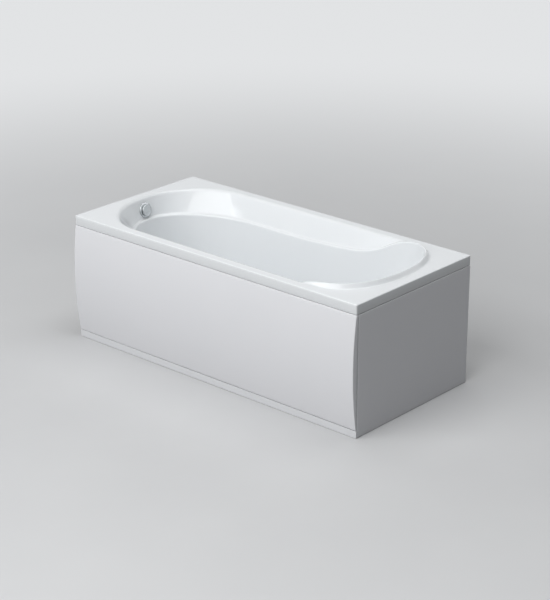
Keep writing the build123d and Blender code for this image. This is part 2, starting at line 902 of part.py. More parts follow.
stem_reach = 12.0
stem_bottom = guide_bottom - stem_reach
trap_depth = 44.0
trap_level = neck_bottom - trap_depth
trap_width = 64.0
trap_round = 30.0
outlet_round = 24.0
outlet_rise = 12.0
outlet_level = neck_bottom + outlet_rise
outlet_joint = 180.0
outlet_end_gap = 5.0
outlet_end = half_width - outlet_end_gap
outlet_step = 1.0
shoulder_gap = 2.0
trap_nut_radius = 27.0
trap_nut_half = 10.0
pipe_bend = 45.0

seal_top = floor_level + seal_height
waste_top = seal_top + waste_height
lower_seal_bottom = dry_underside - lower_seal_height
body_flange_bottom = lower_seal_bottom - body_flange

with BuildPart() as upper_waste_seal:
    with BuildSketch(Plane.XY.offset(floor_level)):
        with Locations((waste_x, 0)):
            Circle(seal_radius)
            Circle(tail_radius, mode=Mode.SUBTRACT)
    extrude(amount=seal_height)
hand_over(upper_waste_seal.part, "upper_waste_seal")

with BuildPart() as lower_waste_seal:
    with BuildSketch(Plane.XY.offset(lower_seal_bottom)):
        with Locations((waste_x, 0)):
            Circle(seal_radius)
            Circle(tail_radius, mode=Mode.SUBTRACT)
    extrude(amount=lower_seal_height)
hand_over(lower_waste_seal.part, "lower_waste_seal")

with BuildPart() as waste_flange:
    with BuildSketch(Plane.XY.offset(seal_top)):
        with Locations((waste_x, 0)):
            Circle(waste_radius)
    extrude(amount=waste_height)
    fillet(waste_flange.edges().group_by(Axis.Z)[-1], waste_round)
    with BuildSketch(Plane.XY.offset(tail_bottom)):
        with Locations((waste_x, 0)):
            Circle(tail_radius)
    extrude(amount=seal_top - tail_bottom)
    with BuildSketch(Plane.XY.offset(tail_bottom)):
        with Locations((waste_x, 0)):
            Circle(tail_bore)
    extrude(amount=waste_top - tail_bottom, mode=Mode.SUBTRACT)
hand_over(waste_flange.part, "waste_flange")

# The cable leaves the waste body's side port towards the drain end and the wall
cable_port_plane = Plane(
    origin=(waste_x, 0, cable_level),
    x_dir=(0, 0, 1),
    z_dir=Vector(1, 0, 0).rotate(Axis.Z, cable_angle),
)
with BuildPart() as waste_body:
    with BuildSketch(Plane.XY.offset(body_flange_bottom)):
        with Locations((waste_x, 0)):
            Circle(waste_radius)
    extrude(amount=body_flange)
    with BuildSketch(Plane.XY.offset(body_bottom)):
        with Locations((waste_x, 0)):
            Circle(body_radius)
    extrude(amount=body_flange_bottom - body_bottom)
    with BuildSketch(Plane.XY.offset(neck_bottom)):
        with Locations((waste_x, 0)):
            Circle(outlet_radius)
    extrude(amount=body_bottom - neck_bottom)
    with BuildSketch(Plane.YZ.offset(waste_x)):
        with Locations((0, port_level)):
            Circle(port_radius)
    extrude(amount=-body_radius - port_reach)
    with BuildSketch(cable_port_plane):
        Circle(cable_port_radius)
    extrude(amount=cable_port_reach)
    with BuildSketch(Plane.XY.offset(body_bottom + body_wall)):
        with Locations((waste_x, 0)):
            Circle(chamber_radius)
    extrude(amount=tail_bottom - body_bottom - body_wall, mode=Mode.SUBTRACT)
    with BuildSketch(Plane.XY.offset(tail_bottom)):
        with Locations((waste_x, 0)):
            Circle(tail_radius)
    extrude(amount=lower_seal_bottom - tail_bottom, mode=Mode.SUBTRACT)
    with BuildSketch(Plane.XY.offset(neck_bottom)):
        with Locations((waste_x, 0)):
            Circle(outlet_bore)
    extrude(amount=body_bottom + body_wall - neck_bottom, mode=Mode.SUBTRACT)
    with BuildSketch(Plane.YZ.offset(waste_x - spigot_bore)):
        with Locations((0, port_level)):
            Circle(pipe_radius)
    extrude(amount=spigot_bore - body_radius - port_reach, mode=Mode.SUBTRACT)
    with BuildSketch(cable_port_plane.offset(spigot_bore)):
        Circle(cable_radius)
    extrude(amount=cable_port_reach - spigot_bore, mode=Mode.SUBTRACT)
    with BuildSketch(Plane.XY.offset(guide_bottom)):
        with Locations((waste_x, 0)):
            Rectangle(guide_bar, chamber_radius * 2 + guide_bar / 2)
            Circle(guide_radius)
            Circle(stem_radius + fit_gap, mode=Mode.SUBTRACT)
    extrude(amount=guide_height)
hand_over(waste_body.part, "waste_body")

plug_seat = waste_top + touch_gap
plug_underside = plug_seat + plug_seal_height
with BuildPart() as plug_seal:
    with BuildSketch(Plane.XY.offset(plug_seat)):
        with Locations((waste_x, 0)):
            Circle(plug_seal_outer)
            Circle(plug_seal_inner, mode=Mode.SUBTRACT)
    extrude(amount=plug_seal_height)
hand_over(plug_seal.part, "plug_seal")

with BuildPart() as waste_plug:
    with BuildSketch(Plane.XY.offset(plug_underside)):
        with Locations((waste_x, 0)):
            Circle(plug_radius)
    extrude(amount=plug_height)
    fillet(waste_plug.edges().group_by(Axis.Z)[-1], plug_round)
    with BuildSketch(Plane.XY.offset(plug_underside - plug_nose_height)):
        with Locations((waste_x, 0)):
            Circle(plug_nose)
    extrude(amount=plug_nose_height)
hand_over(waste_plug.part, "waste_plug")

with BuildPart() as plug_stem:
    with BuildSketch(Plane.XY.offset(stem_bottom)):
        with Locations((waste_x, 0)):
            Circle(stem_radius)
    extrude(amount=plug_underside - plug_nose_height - stem_bottom)
hand_over(plug_stem.part, "plug_stem")


def tube_along(points, radii, outer, inner):
    """Tube, or a rod where the inner radius is zero, swept along straight runs and arcs."""
    start = Vector(*points[0])
    first = Vector(*points[1]) - start
    with BuildPart() as tube:
        with BuildLine():
            FilletPolyline(*points, radius=radii)
        with BuildSketch(Plane(origin=start, z_dir=first)):
            Circle(outer)
            if inner:
                Circle(inner, mode=Mode.SUBTRACT)
        sweep()
    return tube.part


overflow_route = (
    (stub_x, 0, stub_bottom + stub_grip),
    (stub_x, 0, port_level),
    (waste_x - body_radius - port_reach + stub_grip, 0, port_level),
)
overflow_pipe = tube_along(overflow_route, [pipe_bend], pipe_radius, pipe_radius - pipe_wall)
hand_over(overflow_pipe, "overflow_pipe")

with BuildPart() as overflow_slip_nut:
    with BuildSketch(Plane.XY.offset(stub_bottom - slip_nut_below)):
        with Locations((stub_x, 0)):
            Circle(slip_nut_radius)
            Circle(pipe_radius, mode=Mode.SUBTRACT)
    extrude(amount=slip_nut_below)
    with BuildSketch(Plane.XY.offset(stub_bottom)):
        with Locations((stub_x, 0)):
            Circle(slip_nut_radius)
            Circle(stub_radius, mode=Mode.SUBTRACT)
    extrude(amount=slip_nut_above)
hand_over(overflow_slip_nut.part, "overflow_slip_nut")

# Bowden cable from the knob's box to the waste body, held to the overflow pipe by two clips
cable_corner = cable_port_plane.origin + cable_port_plane.z_dir * cable_bend_reach
cable_end = cable_port_plane.origin + cable_port_plane.z_dir * (cable_port_reach - stub_grip)
cable_route = (
    (cable_x, cable_y, cable_box_bottom),
    (cable_x, cable_y, cable_level),
    tuple(cable_corner),
    tuple(cable_end),
)
bowden_cable = tube_along(cable_route, [cable_bend_radius, cable_bend_radius], cable_radius, 0)
hand_over(bowden_cable, "bowden_cable")

cable_clip_shares = (0.277, 0.699)
cable_clip_levels = [port_level + (stub_bottom - port_level) * share for share in cable_clip_shares]
cable_clip_height = 8.0
cable_clip_wall = 2.5
with BuildPart() as cable_clips:
    for clip_level in cable_clip_levels:
        with BuildSketch(Plane.XY.offset(clip_level)):
            with Locations((stub_x, 0)):
                Circle(pipe_radius + cable_clip_wall)
            with Locations((cable_x, cable_y)):
                Circle(cable_radius + cable_clip_wall)
            with Locations(((stub_x + cable_x) / 2, cable_y / 2)):
                Rectangle(cable_clip_wall, cable_y)
            with Locations((stub_x, 0)):
                Circle(pipe_radius, mode=Mode.SUBTRACT)
            with Locations((cable_x, cable_y)):
                Circle(cable_radius, mode=Mode.SUBTRACT)
        extrude(amount=cable_clip_height)
hand_over(cable_clips.part, "cable_clips")

trap_route = (
    (waste_x, 0, neck_bottom),
    (waste_x, 0, trap_level),
    (waste_x, trap_width, trap_level),
    (waste_x, trap_width, outlet_level),
    (waste_x, outlet_joint, outlet_level),
)
trap_bend = tube_along(trap_route, [trap_round, trap_round, outlet_round], outlet_radius, outlet_bore)
hand_over(trap_bend, "trap_bend")

# The outlet pipe is stepped down where it sits in its nut
outlet_shoulder = outlet_joint + trap_nut_half + shoulder_gap
with BuildPart() as outlet_pipe:
    with BuildSketch(Plane.XZ.offset(-outlet_shoulder)):
        with Locations((waste_x, outlet_level)):
            Circle(outlet_radius)
            Circle(outlet_bore, mode=Mode.SUBTRACT)
    extrude(amount=outlet_shoulder - outlet_end)
    with BuildSketch(Plane.XZ.offset(-outlet_joint)):
        with Locations((waste_x, outlet_level)):
            Circle(outlet_radius - outlet_step)
            Circle(outlet_bore, mode=Mode.SUBTRACT)
    extrude(amount=outlet_joint - outlet_shoulder)
hand_over(outlet_pipe.part, "outlet_pipe")

with BuildPart() as trap_nuts:
    with BuildSketch(Plane.XY.offset(neck_bottom - trap_nut_half)):
        with Locations((waste_x, 0)):
            Circle(trap_nut_radius)
            Circle(outlet_radius, mode=Mode.SUBTRACT)
    extrude(amount=2 * trap_nut_half)
    with BuildSketch(Plane.XZ.offset(-outlet_joint - trap_nut_half)):
        with Locations((waste_x, outlet_level)):
            Circle(trap_nut_radius)
            Circle(outlet_radius - outlet_step, mode=Mode.SUBTRACT)
    extrude(amount=2 * trap_nut_half)
    with BuildSketch(Plane.XZ.offset(-outlet_joint)):
        with Locations((waste_x, outlet_level)):
            Circle(outlet_radius)
    extrude(amount=trap_nut_half, mode=Mode.SUBTRACT)
hand_over(trap_nuts.part, "trap_nuts")
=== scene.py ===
import bmesh
import bpy
import numpy as np
from math import cos, pi, radians, sin
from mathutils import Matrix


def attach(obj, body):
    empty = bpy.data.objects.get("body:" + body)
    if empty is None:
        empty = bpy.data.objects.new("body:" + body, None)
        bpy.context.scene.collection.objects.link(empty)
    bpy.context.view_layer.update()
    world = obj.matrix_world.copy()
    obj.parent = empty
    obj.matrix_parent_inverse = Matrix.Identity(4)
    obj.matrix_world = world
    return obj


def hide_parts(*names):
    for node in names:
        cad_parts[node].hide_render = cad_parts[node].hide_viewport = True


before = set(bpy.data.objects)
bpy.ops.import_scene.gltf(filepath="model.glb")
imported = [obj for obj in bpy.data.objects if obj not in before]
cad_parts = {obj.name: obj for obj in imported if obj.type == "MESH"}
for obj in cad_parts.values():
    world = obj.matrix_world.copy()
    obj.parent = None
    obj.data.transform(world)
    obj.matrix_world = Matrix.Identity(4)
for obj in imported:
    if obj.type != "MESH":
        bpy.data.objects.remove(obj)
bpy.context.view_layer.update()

# Camera: the photograph's own place, in front of the panel and a little above it, with a long
# lens. Place and lens were fitted to ten corners of the bath.
camera_down = 21.72
camera_turn = 41.59
camera_data = bpy.data.cameras.new("camera")
camera_data.lens = 111.5
camera_data.sensor_width = 36.0
camera_data.clip_end = 200.0
camera = bpy.data.objects.new("camera", camera_data)
camera.location = (4.6756, -5.2203, 3.0508)
camera.rotation_euler = (radians(90.0 - camera_down), 0.0, radians(camera_turn))
bpy.context.scene.collection.objects.link(camera)
bpy.context.scene.camera = camera
bpy.context.scene.view_settings.view_transform = "Standard"


# Room: a plain pale floor, matt like painted screed, and soft studio light from above and from
# the front, so that the end panel stays in its own shade as in the photograph.
def new_material(name):
    """Node material: itself, its tree, its shader, and the place on the object, which is what the
    patterns are laid out on."""
    material = bpy.data.materials.new(name)
    material.use_nodes = True
    tree = material.node_tree
    where = tree.nodes.new("ShaderNodeTexCoord").outputs["Object"]
    return material, tree, tree.nodes["Principled BSDF"], where


def noise(tree, where, scale, detail, distortion=0.0):
    """Cloudy noise, finer with a larger scale, and with more fine octaves for more detail."""
    cloud = tree.nodes.new("ShaderNodeTexNoise")
    cloud.inputs["Scale"].default_value = scale
    cloud.inputs["Detail"].default_value = detail
    cloud.inputs["Distortion"].default_value = distortion
    tree.links.new(where, cloud.inputs["Vector"])
    return cloud.outputs["Fac"]


def tinted(tree, pattern, *stops):
    """Colour that follows a pattern through stops of (level, colour)."""
    ramp = tree.nodes.new("ShaderNodeValToRGB")
    elements = ramp.color_ramp.elements
    for number, (level, colour) in enumerate((stops[0], stops[-1])):
        elements[number].position = level
        elements[number].color = (*colour, 1.0)
    for level, colour in stops[1:-1]:
        elements.new(level).color = (*colour, 1.0)
    tree.links.new(pattern, ramp.inputs["Fac"])
    return ramp.outputs["Color"]


def ranged(tree, pattern, start, end, low=0.0, high=1.0, curve="LINEAR"):
    """Number that runs from low to high while a pattern goes from start to end."""
    mapped = tree.nodes.new("ShaderNodeMapRange")
    mapped.interpolation_type = curve
    mapped.inputs["From Min"].default_value = start
    mapped.inputs["From Max"].default_value = end
    mapped.inputs["To Min"].default_value = low
    mapped.inputs["To Max"].default_value = high
    tree.links.new(pattern, mapped.inputs["Value"])
    return mapped.outputs["Result"]


def combined(tree, operation, first, second):
    """Two patterns as one, by an operation such as MAXIMUM or MULTIPLY."""
    both = tree.nodes.new("ShaderNodeMath")
    both.operation = operation
    tree.links.new(first, both.inputs[0])
    tree.links.new(second, both.inputs[1])
    return both.outputs["Value"]


def seen_directly(tree):
    """1 for camera, glossy and transmission rays and 0 for the others."""
    ray = tree.nodes.new("ShaderNodeLightPath")
    seen = combined(tree, "MAXIMUM", ray.outputs["Is Camera Ray"], ray.outputs["Is Glossy Ray"])
    return combined(tree, "MAXIMUM", seen, ray.outputs["Is Transmission Ray"])


# Near the bath the floor is lit by the lamps and keeps its shadow. Further out it goes over into an
# even pale glow, the background, which lights nothing: other rays see the floor's bounce alone.
floor_half = 60.0
glow_from = 0.8
glow_full = 5.0
floor_bounce = (0.17, 0.172, 0.176, 1.0)
floor_under_glow = (0.05, 0.05, 0.05, 1.0)
glow_colour = (0.70, 0.71, 0.72, 1.0)
floor_material, tree, shader, where = new_material("pale floor")
shader.inputs["Roughness"].default_value = 0.75
shader.inputs["Specular IOR Level"].default_value = 0.25
grain = noise(tree, where, 1.6, 5.0)
screed = tinted(tree, grain, (0.3, (0.620, 0.625, 0.632)), (0.7, (0.645, 0.650, 0.656)))
away = tree.nodes.new("ShaderNodeVectorMath")
away.operation = "LENGTH"
tree.links.new(where, away.inputs[0])
paling = ranged(tree, away.outputs["Value"], glow_from, glow_full, curve="SMOOTHSTEP")
distance_mix = tree.nodes.new("ShaderNodeMix")
distance_mix.data_type = "RGBA"
distance_mix.inputs["B"].default_value = floor_under_glow
tree.links.new(paling, distance_mix.inputs["Factor"])
tree.links.new(screed, distance_mix.inputs["A"])
directly = seen_directly(tree)
floor_mix = tree.nodes.new("ShaderNodeMix")
floor_mix.data_type = "RGBA"
floor_mix.inputs["A"].default_value = floor_bounce
tree.links.new(directly, floor_mix.inputs["Factor"])
tree.links.new(distance_mix.outputs["Result"], floor_mix.inputs["B"])
tree.links.new(floor_mix.outputs["Result"], shader.inputs["Base Color"])
shader.inputs["Emission Color"].default_value = glow_colour
far_glow = combined(tree, "MULTIPLY", directly, paling)
tree.links.new(far_glow, shader.inputs["Emission Strength"])

floor_mesh = bpy.data.meshes.new("floor")
floor_signs = ((-1.0, -1.0), (1.0, -1.0), (1.0, 1.0), (-1.0, 1.0))
floor_corners = [(x * floor_half, y * floor_half, 0.0) for x, y in floor_signs]
floor_mesh.from_pydata(floor_corners, [], [[0, 1, 2, 3]])
floor_mesh.materials.append(floor_material)
floor = bpy.data.objects.new("floor", floor_mesh)
bpy.context.scene.collection.objects.link(floor)

# The same background above the floor, and a dim fill light from it for all other rays
fill_light = 0.12
background_light = 0.9
world = bpy.data.worlds.new("studio")
bpy.context.scene.world = world
world.use_nodes = True
tree = world.node_tree
background = tree.nodes["Background"]
background.inputs["Color"].default_value = (0.95, 0.975, 1.0, 1.0)
world_mix = tree.nodes.new("ShaderNodeMix")
world_mix.data_type = "FLOAT"
world_mix.inputs["A"].default_value = fill_light
world_mix.inputs["B"].default_value = background_light
tree.links.new(seen_directly(tree), world_mix.inputs["Factor"])
tree.links.new(world_mix.outputs["Result"], background.inputs["Strength"])


def softbox(name, place, aim, size, power):
    """Oblong area lamp at a place, turned to face a point."""
    lamp_data = bpy.data.lights.new(name, "AREA")
    lamp_data.shape = "RECTANGLE"
    lamp_data.size, lamp_data.size_y = size
    lamp_data.energy = power
    lamp = bpy.data.objects.new(name, lamp_data)
    towards = np.array(aim) - np.array(place)
    tilt = np.arctan2(np.hypot(towards[0], towards[1]), -towards[2])
    turn = np.arctan2(-towards[0], towards[1])
    lamp.location = place
    lamp.rotation_euler = (float(tilt), 0.0, float(turn))
    lamp.visible_camera = False
    bpy.context.scene.collection.objects.link(lamp)


lamp_aim = (0.0, -0.1, 0.4)
softbox("front softbox", (0.0, -6.0, 2.6), lamp_aim, (9.0, 5.0), 205.0)
softbox("upper front softbox", (-0.3, -4.2, 5.0), lamp_aim, (7.0, 3.0), 180.0)
softbox("top softbox", (0.0, 0.5, 5.5), lamp_aim, (4.0, 4.0), 105.0)
softbox("rear softbox", (2.2, 5.0, 3.5), lamp_aim, (4.0, 3.0), 40.0)


# Bath shell: one sheet of cast acrylic, 5 mm thick, drawn hot over a mould. Every edge is soft:
# the round of the floor, the ledge that climbs to the rim, the lip of the basin, the headrest.
MM = 0.001
shell_wall = 5.0
rim_top = 541.0
floor_top = 141.0
skirt_middle = 525.0
skirt_foot = 501.0
half_long = 750.0
half_wide = 350.0
plan_round = 6.0
edge_round = 4.0
waste_x = -480.0
hole_radius = 26.0
overflow_depth = 30.0
overflow_centre = np.array([-695.0, 0.0, 486.0])
overflow_lean = np.arctan2(18.0, 90.0)
overflow_axis = np.array([cos(overflow_lean), 0.0, sin(overflow_lean)])

# Outlines in plan, each as x, run and half width of the drain end, the x from which the sides
# swell, and x, run and half width of the head end. The dish has one at each of its heights.
head_power = 2.155
mouth = (-706.0, 256.0, 303.0, 0.0, 703.0, 203.0, 303.0)
collar_foot = (-688.0, 368.0, 261.0, 0.0, 600.0, 120.0, 261.0)
collar_foot_height = 451.0
dish_heights = (floor_top, 300.0, collar_foot_height, rim_top, 561.0)
dish = (
    (-627.0, 300.0, 200.0, 100.0, 440.0, 140.0, 205.0),
    (-652.0, 330.0, 225.0, 150.0, 548.0, 148.0, 244.0),
    (-676.0, 356.0, 249.0, 200.0, 640.0, 160.0, 278.0),
    (-686.0, 360.0, 262.0, 220.0, 683.0, 186.0, 286.0),
    (-688.0, 362.0, 265.0, 220.0, 686.0, 187.0, 288.0),
)


def smooth(t):
    """Smooth step from 0 to 1 of a share that is clipped first."""
    t = np.clip(t, 0.0, 1.0)
    return t * t * (3.0 - 2.0 * t)


def within(level, x, y):
    """Whether a point is inside an outline: an ellipse at the drain end, straight sides that
    swell, and a superellipse at the head end."""
    left, left_run, left_half, swell_from, right, right_run, right_half = level
    side_to = right - right_run
    swell = smooth((x - swell_from) / (side_to - swell_from))
    half = left_half + (right_half - left_half) * swell
    drain = np.clip((left + left_run - x) / left_run, 0.0, 1.0)
    head = np.clip((x - side_to) / right_run, 0.0, 1.0)
    half = half * np.sqrt(1.0 - drain**2) * (1.0 - head**head_power) ** (1.0 / head_power)
    return np.abs(y) < half


def within_rim(inset, x, y):
    """Whether a point is inside the rounded rectangle of the rim, set in by an amount."""
    beyond_x = np.abs(x) - (half_long - plan_round)
    beyond_y = np.abs(y) - (half_wide - plan_round)
    outside = np.hypot(np.maximum(beyond_x, 0.0), np.maximum(beyond_y, 0.0))
    return outside + np.minimum(np.maximum(beyond_x, beyond_y), 0.0) - plan_round < -inset


# Rays in plan: a fan round the drain end, parallel rays along the side, a fan round the head end.
# The fans are dense where they cross a corner of the rim.
drain_pole = -330.0
head_pole = 300.0
lip_pole = 480.0
drain_fan = np.concatenate(
    [np.linspace(180.0, 141.3, 30), np.linspace(140.9, 139.6, 11), np.linspace(139.1, 90.8, 34)]
)
side_rays = np.linspace(drain_pole, head_pole, 51)
head_fan = np.concatenate(
    [np.linspace(89.0, 38.7, 40), np.linspace(38.45, 37.15, 11), np.linspace(36.9, 0.0, 39)]
)
ray_x = np.concatenate(
    [np.full(len(drain_fan), drain_pole), side_rays, np.full(len(head_fan), head_pole)]
)
ray_angle = np.radians(np.concatenate([drain_fan, np.full(len(side_rays), 90.0), head_fan]))


ray_length = 1200.0
halvings = 44


def reach_of(inside, start=ray_x, angle=ray_angle):
    """Distance from the middle line at which each ray leaves an outline, found by halving."""
    near = np.zeros_like(angle)
    far = np.full_like(angle, ray_length)
    for _ in range(halvings):
        middle = (near + far) / 2.0
        hit = inside(start + middle * np.cos(angle), middle * np.sin(angle))
        near = np.where(hit, middle, near)
        far = np.where(hit, far, middle)
    return near


def cubic(t, span, start, end, start_slope, end_slope):
    """Cubic run from start to end at a share t of its span, with a slope given at each end."""
    return (
        (2 * t**3 - 3 * t**2 + 1) * start
        + (t**3 - 2 * t**2 + t) * span * start_slope
        + (3 * t**2 - 2 * t**3) * end
        + (t**3 - t**2) * span * end_slope
    )


dish_reach = np.array([reach_of(lambda x, y, level=level: within(level, x, y)) for level in dish])
mouth_reach = reach_of(lambda x, y: within(mouth, x, y))
foot_reach = reach_of(lambda x, y: within(collar_foot, x, y))
rim_reach = reach_of(lambda x, y: within_rim(edge_round, x, y))
dish_slopes = np.gradient(dish_reach, dish_heights, axis=0)


def wall_reach(height):
    """Reach of the dish wall at a height for every ray: cubic runs between the levels that share
    their slopes."""
    reach = dish_reach[0] + dish_slopes[0] * (height - dish_heights[0])
    for low in range(len(dish_heights) - 1):
        span = dish_heights[low + 1] - dish_heights[low]
        t = (height - dish_heights[low]) / span
        ends = (dish_reach[low], dish_reach[low + 1], dish_slopes[low], dish_slopes[low + 1])
        reach = np.where(height >= dish_heights[low], cubic(t, span, *ends), reach)
    return reach


def corner_marks(corners):
    """Distance of each corner after the first along the straight runs between them."""
    return np.cumsum(np.linalg.norm(np.diff(corners, axis=-2), axis=-1), axis=-1)


def rounded_chain(corners, reaches, places):
    """Path along straight runs with rounded corners. At a distance u along them it is
    P(u) = start + d0 u + the sum over the corners of (d after - d before) ramp(u - u of corner),
    where the ramp is 0 before the corner's reach, a parabola across it, and u after it."""
    runs = np.diff(corners, axis=-2)
    directions = runs / np.maximum(np.linalg.norm(runs, axis=-1), 1e-6)[..., None]
    marks = corner_marks(corners)
    path = corners[..., None, 0, :] + directions[..., None, 0, :] * places[..., :, None]
    for corner in range(runs.shape[-2] - 1):
        u = places - marks[..., corner, None]
        w = reaches[..., corner, None]
        ramp = np.where(u <= -w, 0.0, np.where(u >= w, u, (u + w) ** 2 / (4.0 * w)))
        turn = directions[..., corner + 1, :] - directions[..., corner, :]
        path = path + turn[..., None, :] * ramp[..., None]
    return path


# The ledge climbs out of its pocket, passes the rim and goes on as the headrest lip: (x, height)
climb = np.array(
    [
        (-60.0, 451.0),
        (0.0, 452.0),
        (84.0, 456.0),
        (174.0, 461.0),
        (259.0, 469.0),
        (313.0, 480.0),
        (364.0, 498.0),
        (411.0, 523.0),
        (434.0, 534.0),
        (465.0, 544.2),
        (500.0, 552.2),
        (530.0, 556.9),
        (560.0, 558.9),
        (600.0, 559.55),
        (710.0, 559.55),
    ]
)


def curve_through(points, x):
    """Cubic runs through points, with the slopes that their neighbours give."""
    xs, zs = points.T
    slopes = np.gradient(zs, xs)
    low = np.clip(np.searchsorted(xs, x, side="right") - 1, 0, len(xs) - 2)
    span = xs[low + 1] - xs[low]
    t = np.clip((x - xs[low]) / span, 0.0, 1.0)
    return cubic(t, span, zs[low], zs[low + 1], slopes[low], slopes[low + 1])


def climb_height(reach):
    """Height of the ledge or the lip at a reach on every ray. It follows x along the sides. Round
    the head end it follows the x where a ray from the lip's pole through the point meets the
    mouth."""
    x, y = ray_x + reach * np.cos(ray_angle), reach * np.sin(ray_angle)
    start = np.minimum(x, lip_pole)
    angle = np.arctan2(y, x - start)
    meets = reach_of(lambda x, y: within(mouth, x, y), start, angle)
    return curve_through(climb, np.maximum(start + meets * np.cos(angle), climb[0, 0]))


# The crest and the bank each lie at the height of their own place, so both are found by repeating
lip_lean = 0.75
collar_drop = rim_top - collar_foot_height
repeats = 8
crest_reach = bank_reach = mouth_reach
for _ in range(repeats):
    crest_height, bank_height = climb_height(crest_reach), climb_height(bank_reach)
    below = np.clip(rim_top - bank_height, 0.0, None)
    above = np.clip(bank_height - rim_top, 0.0, None)
    crest_reach = wall_reach(crest_height)
    bank_reach = mouth_reach - (mouth_reach - foot_reach) * below / collar_drop - lip_lean * above

# Corners of the profile under each ray: floor, wall, crest or ledge edge, ledge foot, mouth, rim.
# The last rounds get tighter where the ledge has become the lip.
wall_runs = 14
floor_run = 80.0
floor_round = 72.0
wall_round = 24.0
crest_round = 9.0
bank_round = 12.0
mouth_round = 12.0
pocket_depth = 40.0
lip_height = 15.0
rim_level = np.full_like(mouth_reach, rim_top)
profile = [np.stack([dish_reach[0] - floor_run, np.full_like(rim_level, floor_top)], axis=-1)]
profile_rounds = []
for step in range(wall_runs):
    height = floor_top + (crest_height - floor_top) * step / wall_runs
    profile.append(np.stack([wall_reach(height), height], axis=-1))
    profile_rounds.append(np.full_like(height, floor_round if step == 0 else wall_round))
profile.append(np.stack([crest_reach, crest_height], axis=-1))
profile.append(np.stack([bank_reach, bank_height], axis=-1))
profile.append(np.stack([mouth_reach, rim_level], axis=-1))
profile.append(np.stack([rim_reach, rim_level], axis=-1))
on_lip = smooth(above / lip_height)
profile_rounds.append(crest_round - 3.0 * on_lip)
profile_rounds.append(bank_round - 4.0 * smooth(below / pocket_depth) - 6.0 * on_lip)
profile_rounds.append(mouth_round - 7.0 * on_lip)
profile = np.stack(profile, axis=1)
profile_rounds = np.stack(profile_rounds, axis=1)
profile_marks = corner_marks(profile)


def shell_places(rounds, top_rows=True):
    """Distances along each profile at which the rows lie, close together where it bends: so many
    from each stop to the next."""
    floor_at, crest_at, bank_at, mouth_at, rim_at = profile_marks[:, [0, -4, -3, -2, -1]].T
    short = (mouth_at - bank_at) / 2.0
    stops = [
        np.zeros_like(floor_at),
        floor_at - rounds[:, 0],
        floor_at + rounds[:, 0] + 20.0,
        crest_at - 1.5 * rounds[:, -3],
        (crest_at + bank_at) / 2.0,
        bank_at + np.minimum(1.4 * rounds[:, -2], short),
    ]
    rows = [2, 14, 14, 11, 9]
    if top_rows:
        mouth_from = mouth_at - np.minimum(1.4 * rounds[:, -1], short)
        stops += [mouth_from, mouth_at + 1.4 * rounds[:, -1], rim_at]
        rows += [6, 14, 6]
    places = [
        stops[part][:, None] + (stops[part + 1] - stops[part])[:, None] * (np.arange(count) / count)
        for part, count in enumerate(rows)
    ]
    return np.concatenate([*places, stops[-1][:, None]], axis=1)


def to_plan(reach, height):
    """Points of a ray at a reach and a height."""
    x = ray_x[:, None] + reach * np.cos(ray_angle)[:, None]
    y = reach * np.sin(ray_angle)[:, None]
    return np.stack([x, y, height], axis=-1)


def both_sides(far_half):
    """The whole round: the far half, then its mirror image without the two shared rays."""
    near_half = far_half[-2:0:-1] * np.array([1.0, -1.0, 1.0])
    return np.concatenate([far_half, near_half], axis=0)


def surface(name, points, keep=None, outward=False):
    """Mesh of a grid of points in millimetres. Quads join each row to the next, every row closes
    on itself, and points that fall together are welded."""
    rows, columns = points.shape[:2]
    index = np.arange(rows * columns).reshape(rows, columns)
    index = np.concatenate([index, index[:, :1]], axis=1)
    corners = [index[:-1, :-1], index[:-1, 1:], index[1:, 1:], index[1:, :-1]]
    quads = np.stack(corners, axis=-1).reshape(-1, 4)
    if keep is not None:
        quads = quads[keep.ravel()]
    mesh = bpy.data.meshes.new(name)
    mesh.from_pydata((points.reshape(-1, 3) * MM).tolist(), [], quads.tolist())
    work = bmesh.new()
    work.from_mesh(mesh)
    bmesh.ops.remove_doubles(work, verts=work.verts, dist=2e-6)
    bmesh.ops.delete(work, geom=[v for v in work.verts if not v.link_faces], context="VERTS")
    if outward:
        bmesh.ops.recalc_face_normals(work, faces=work.faces)
    work.to_mesh(mesh)
    work.free()
    mesh.polygons.foreach_set("use_smooth", np.ones(len(mesh.polygons), dtype=bool))
    mesh.update()
    piece = bpy.data.objects.new(name, mesh)
    bpy.context.scene.collection.objects.link(piece)
    return piece


def thicken(piece, wall):
    """Give a sheet its thickness, away from the side that its faces look to."""
    solidify = piece.modifiers.new("wall", "SOLIDIFY")
    solidify.thickness = wall * MM
    solidify.offset = -1.0
    solidify.use_even_offset = False


def floor_rows(first_ring):
    """Flat floor between the waste hole and the start of the profiles, along rays from the hole."""
    angle = np.arctan2(first_ring[:, 1], first_ring[:, 0] - waste_x)
    hole_x, hole_y = waste_x + hole_radius * np.cos(angle), hole_radius * np.sin(angle)
    start = np.stack([hole_x, hole_y, first_ring[:, 2]], axis=-1)
    shares = np.array([0.0, 0.1, 0.3, 0.6])
    return start[:, None] + (first_ring - start)[:, None] * shares[None, :, None]


def open_overflow(points, hole):
    """The overflow's round hole in a sheet: points nearer to its axis than its radius move out to
    its edge, and the faces between them aren't kept."""
    off = points - overflow_centre
    along = off @ overflow_axis
    flat = off - along[..., None] * overflow_axis
    distance = np.linalg.norm(flat, axis=-1)
    near = (distance < hole) & (np.abs(along) < overflow_depth)
    out = flat * (hole / np.maximum(distance, 1e-3))[..., None]
    on_edge = overflow_centre + along[..., None] * overflow_axis + out
    gone = near & np.roll(near, -1, axis=1)
    return np.where(near[..., None], on_edge, points), ~(gone[:-1] & gone[1:])


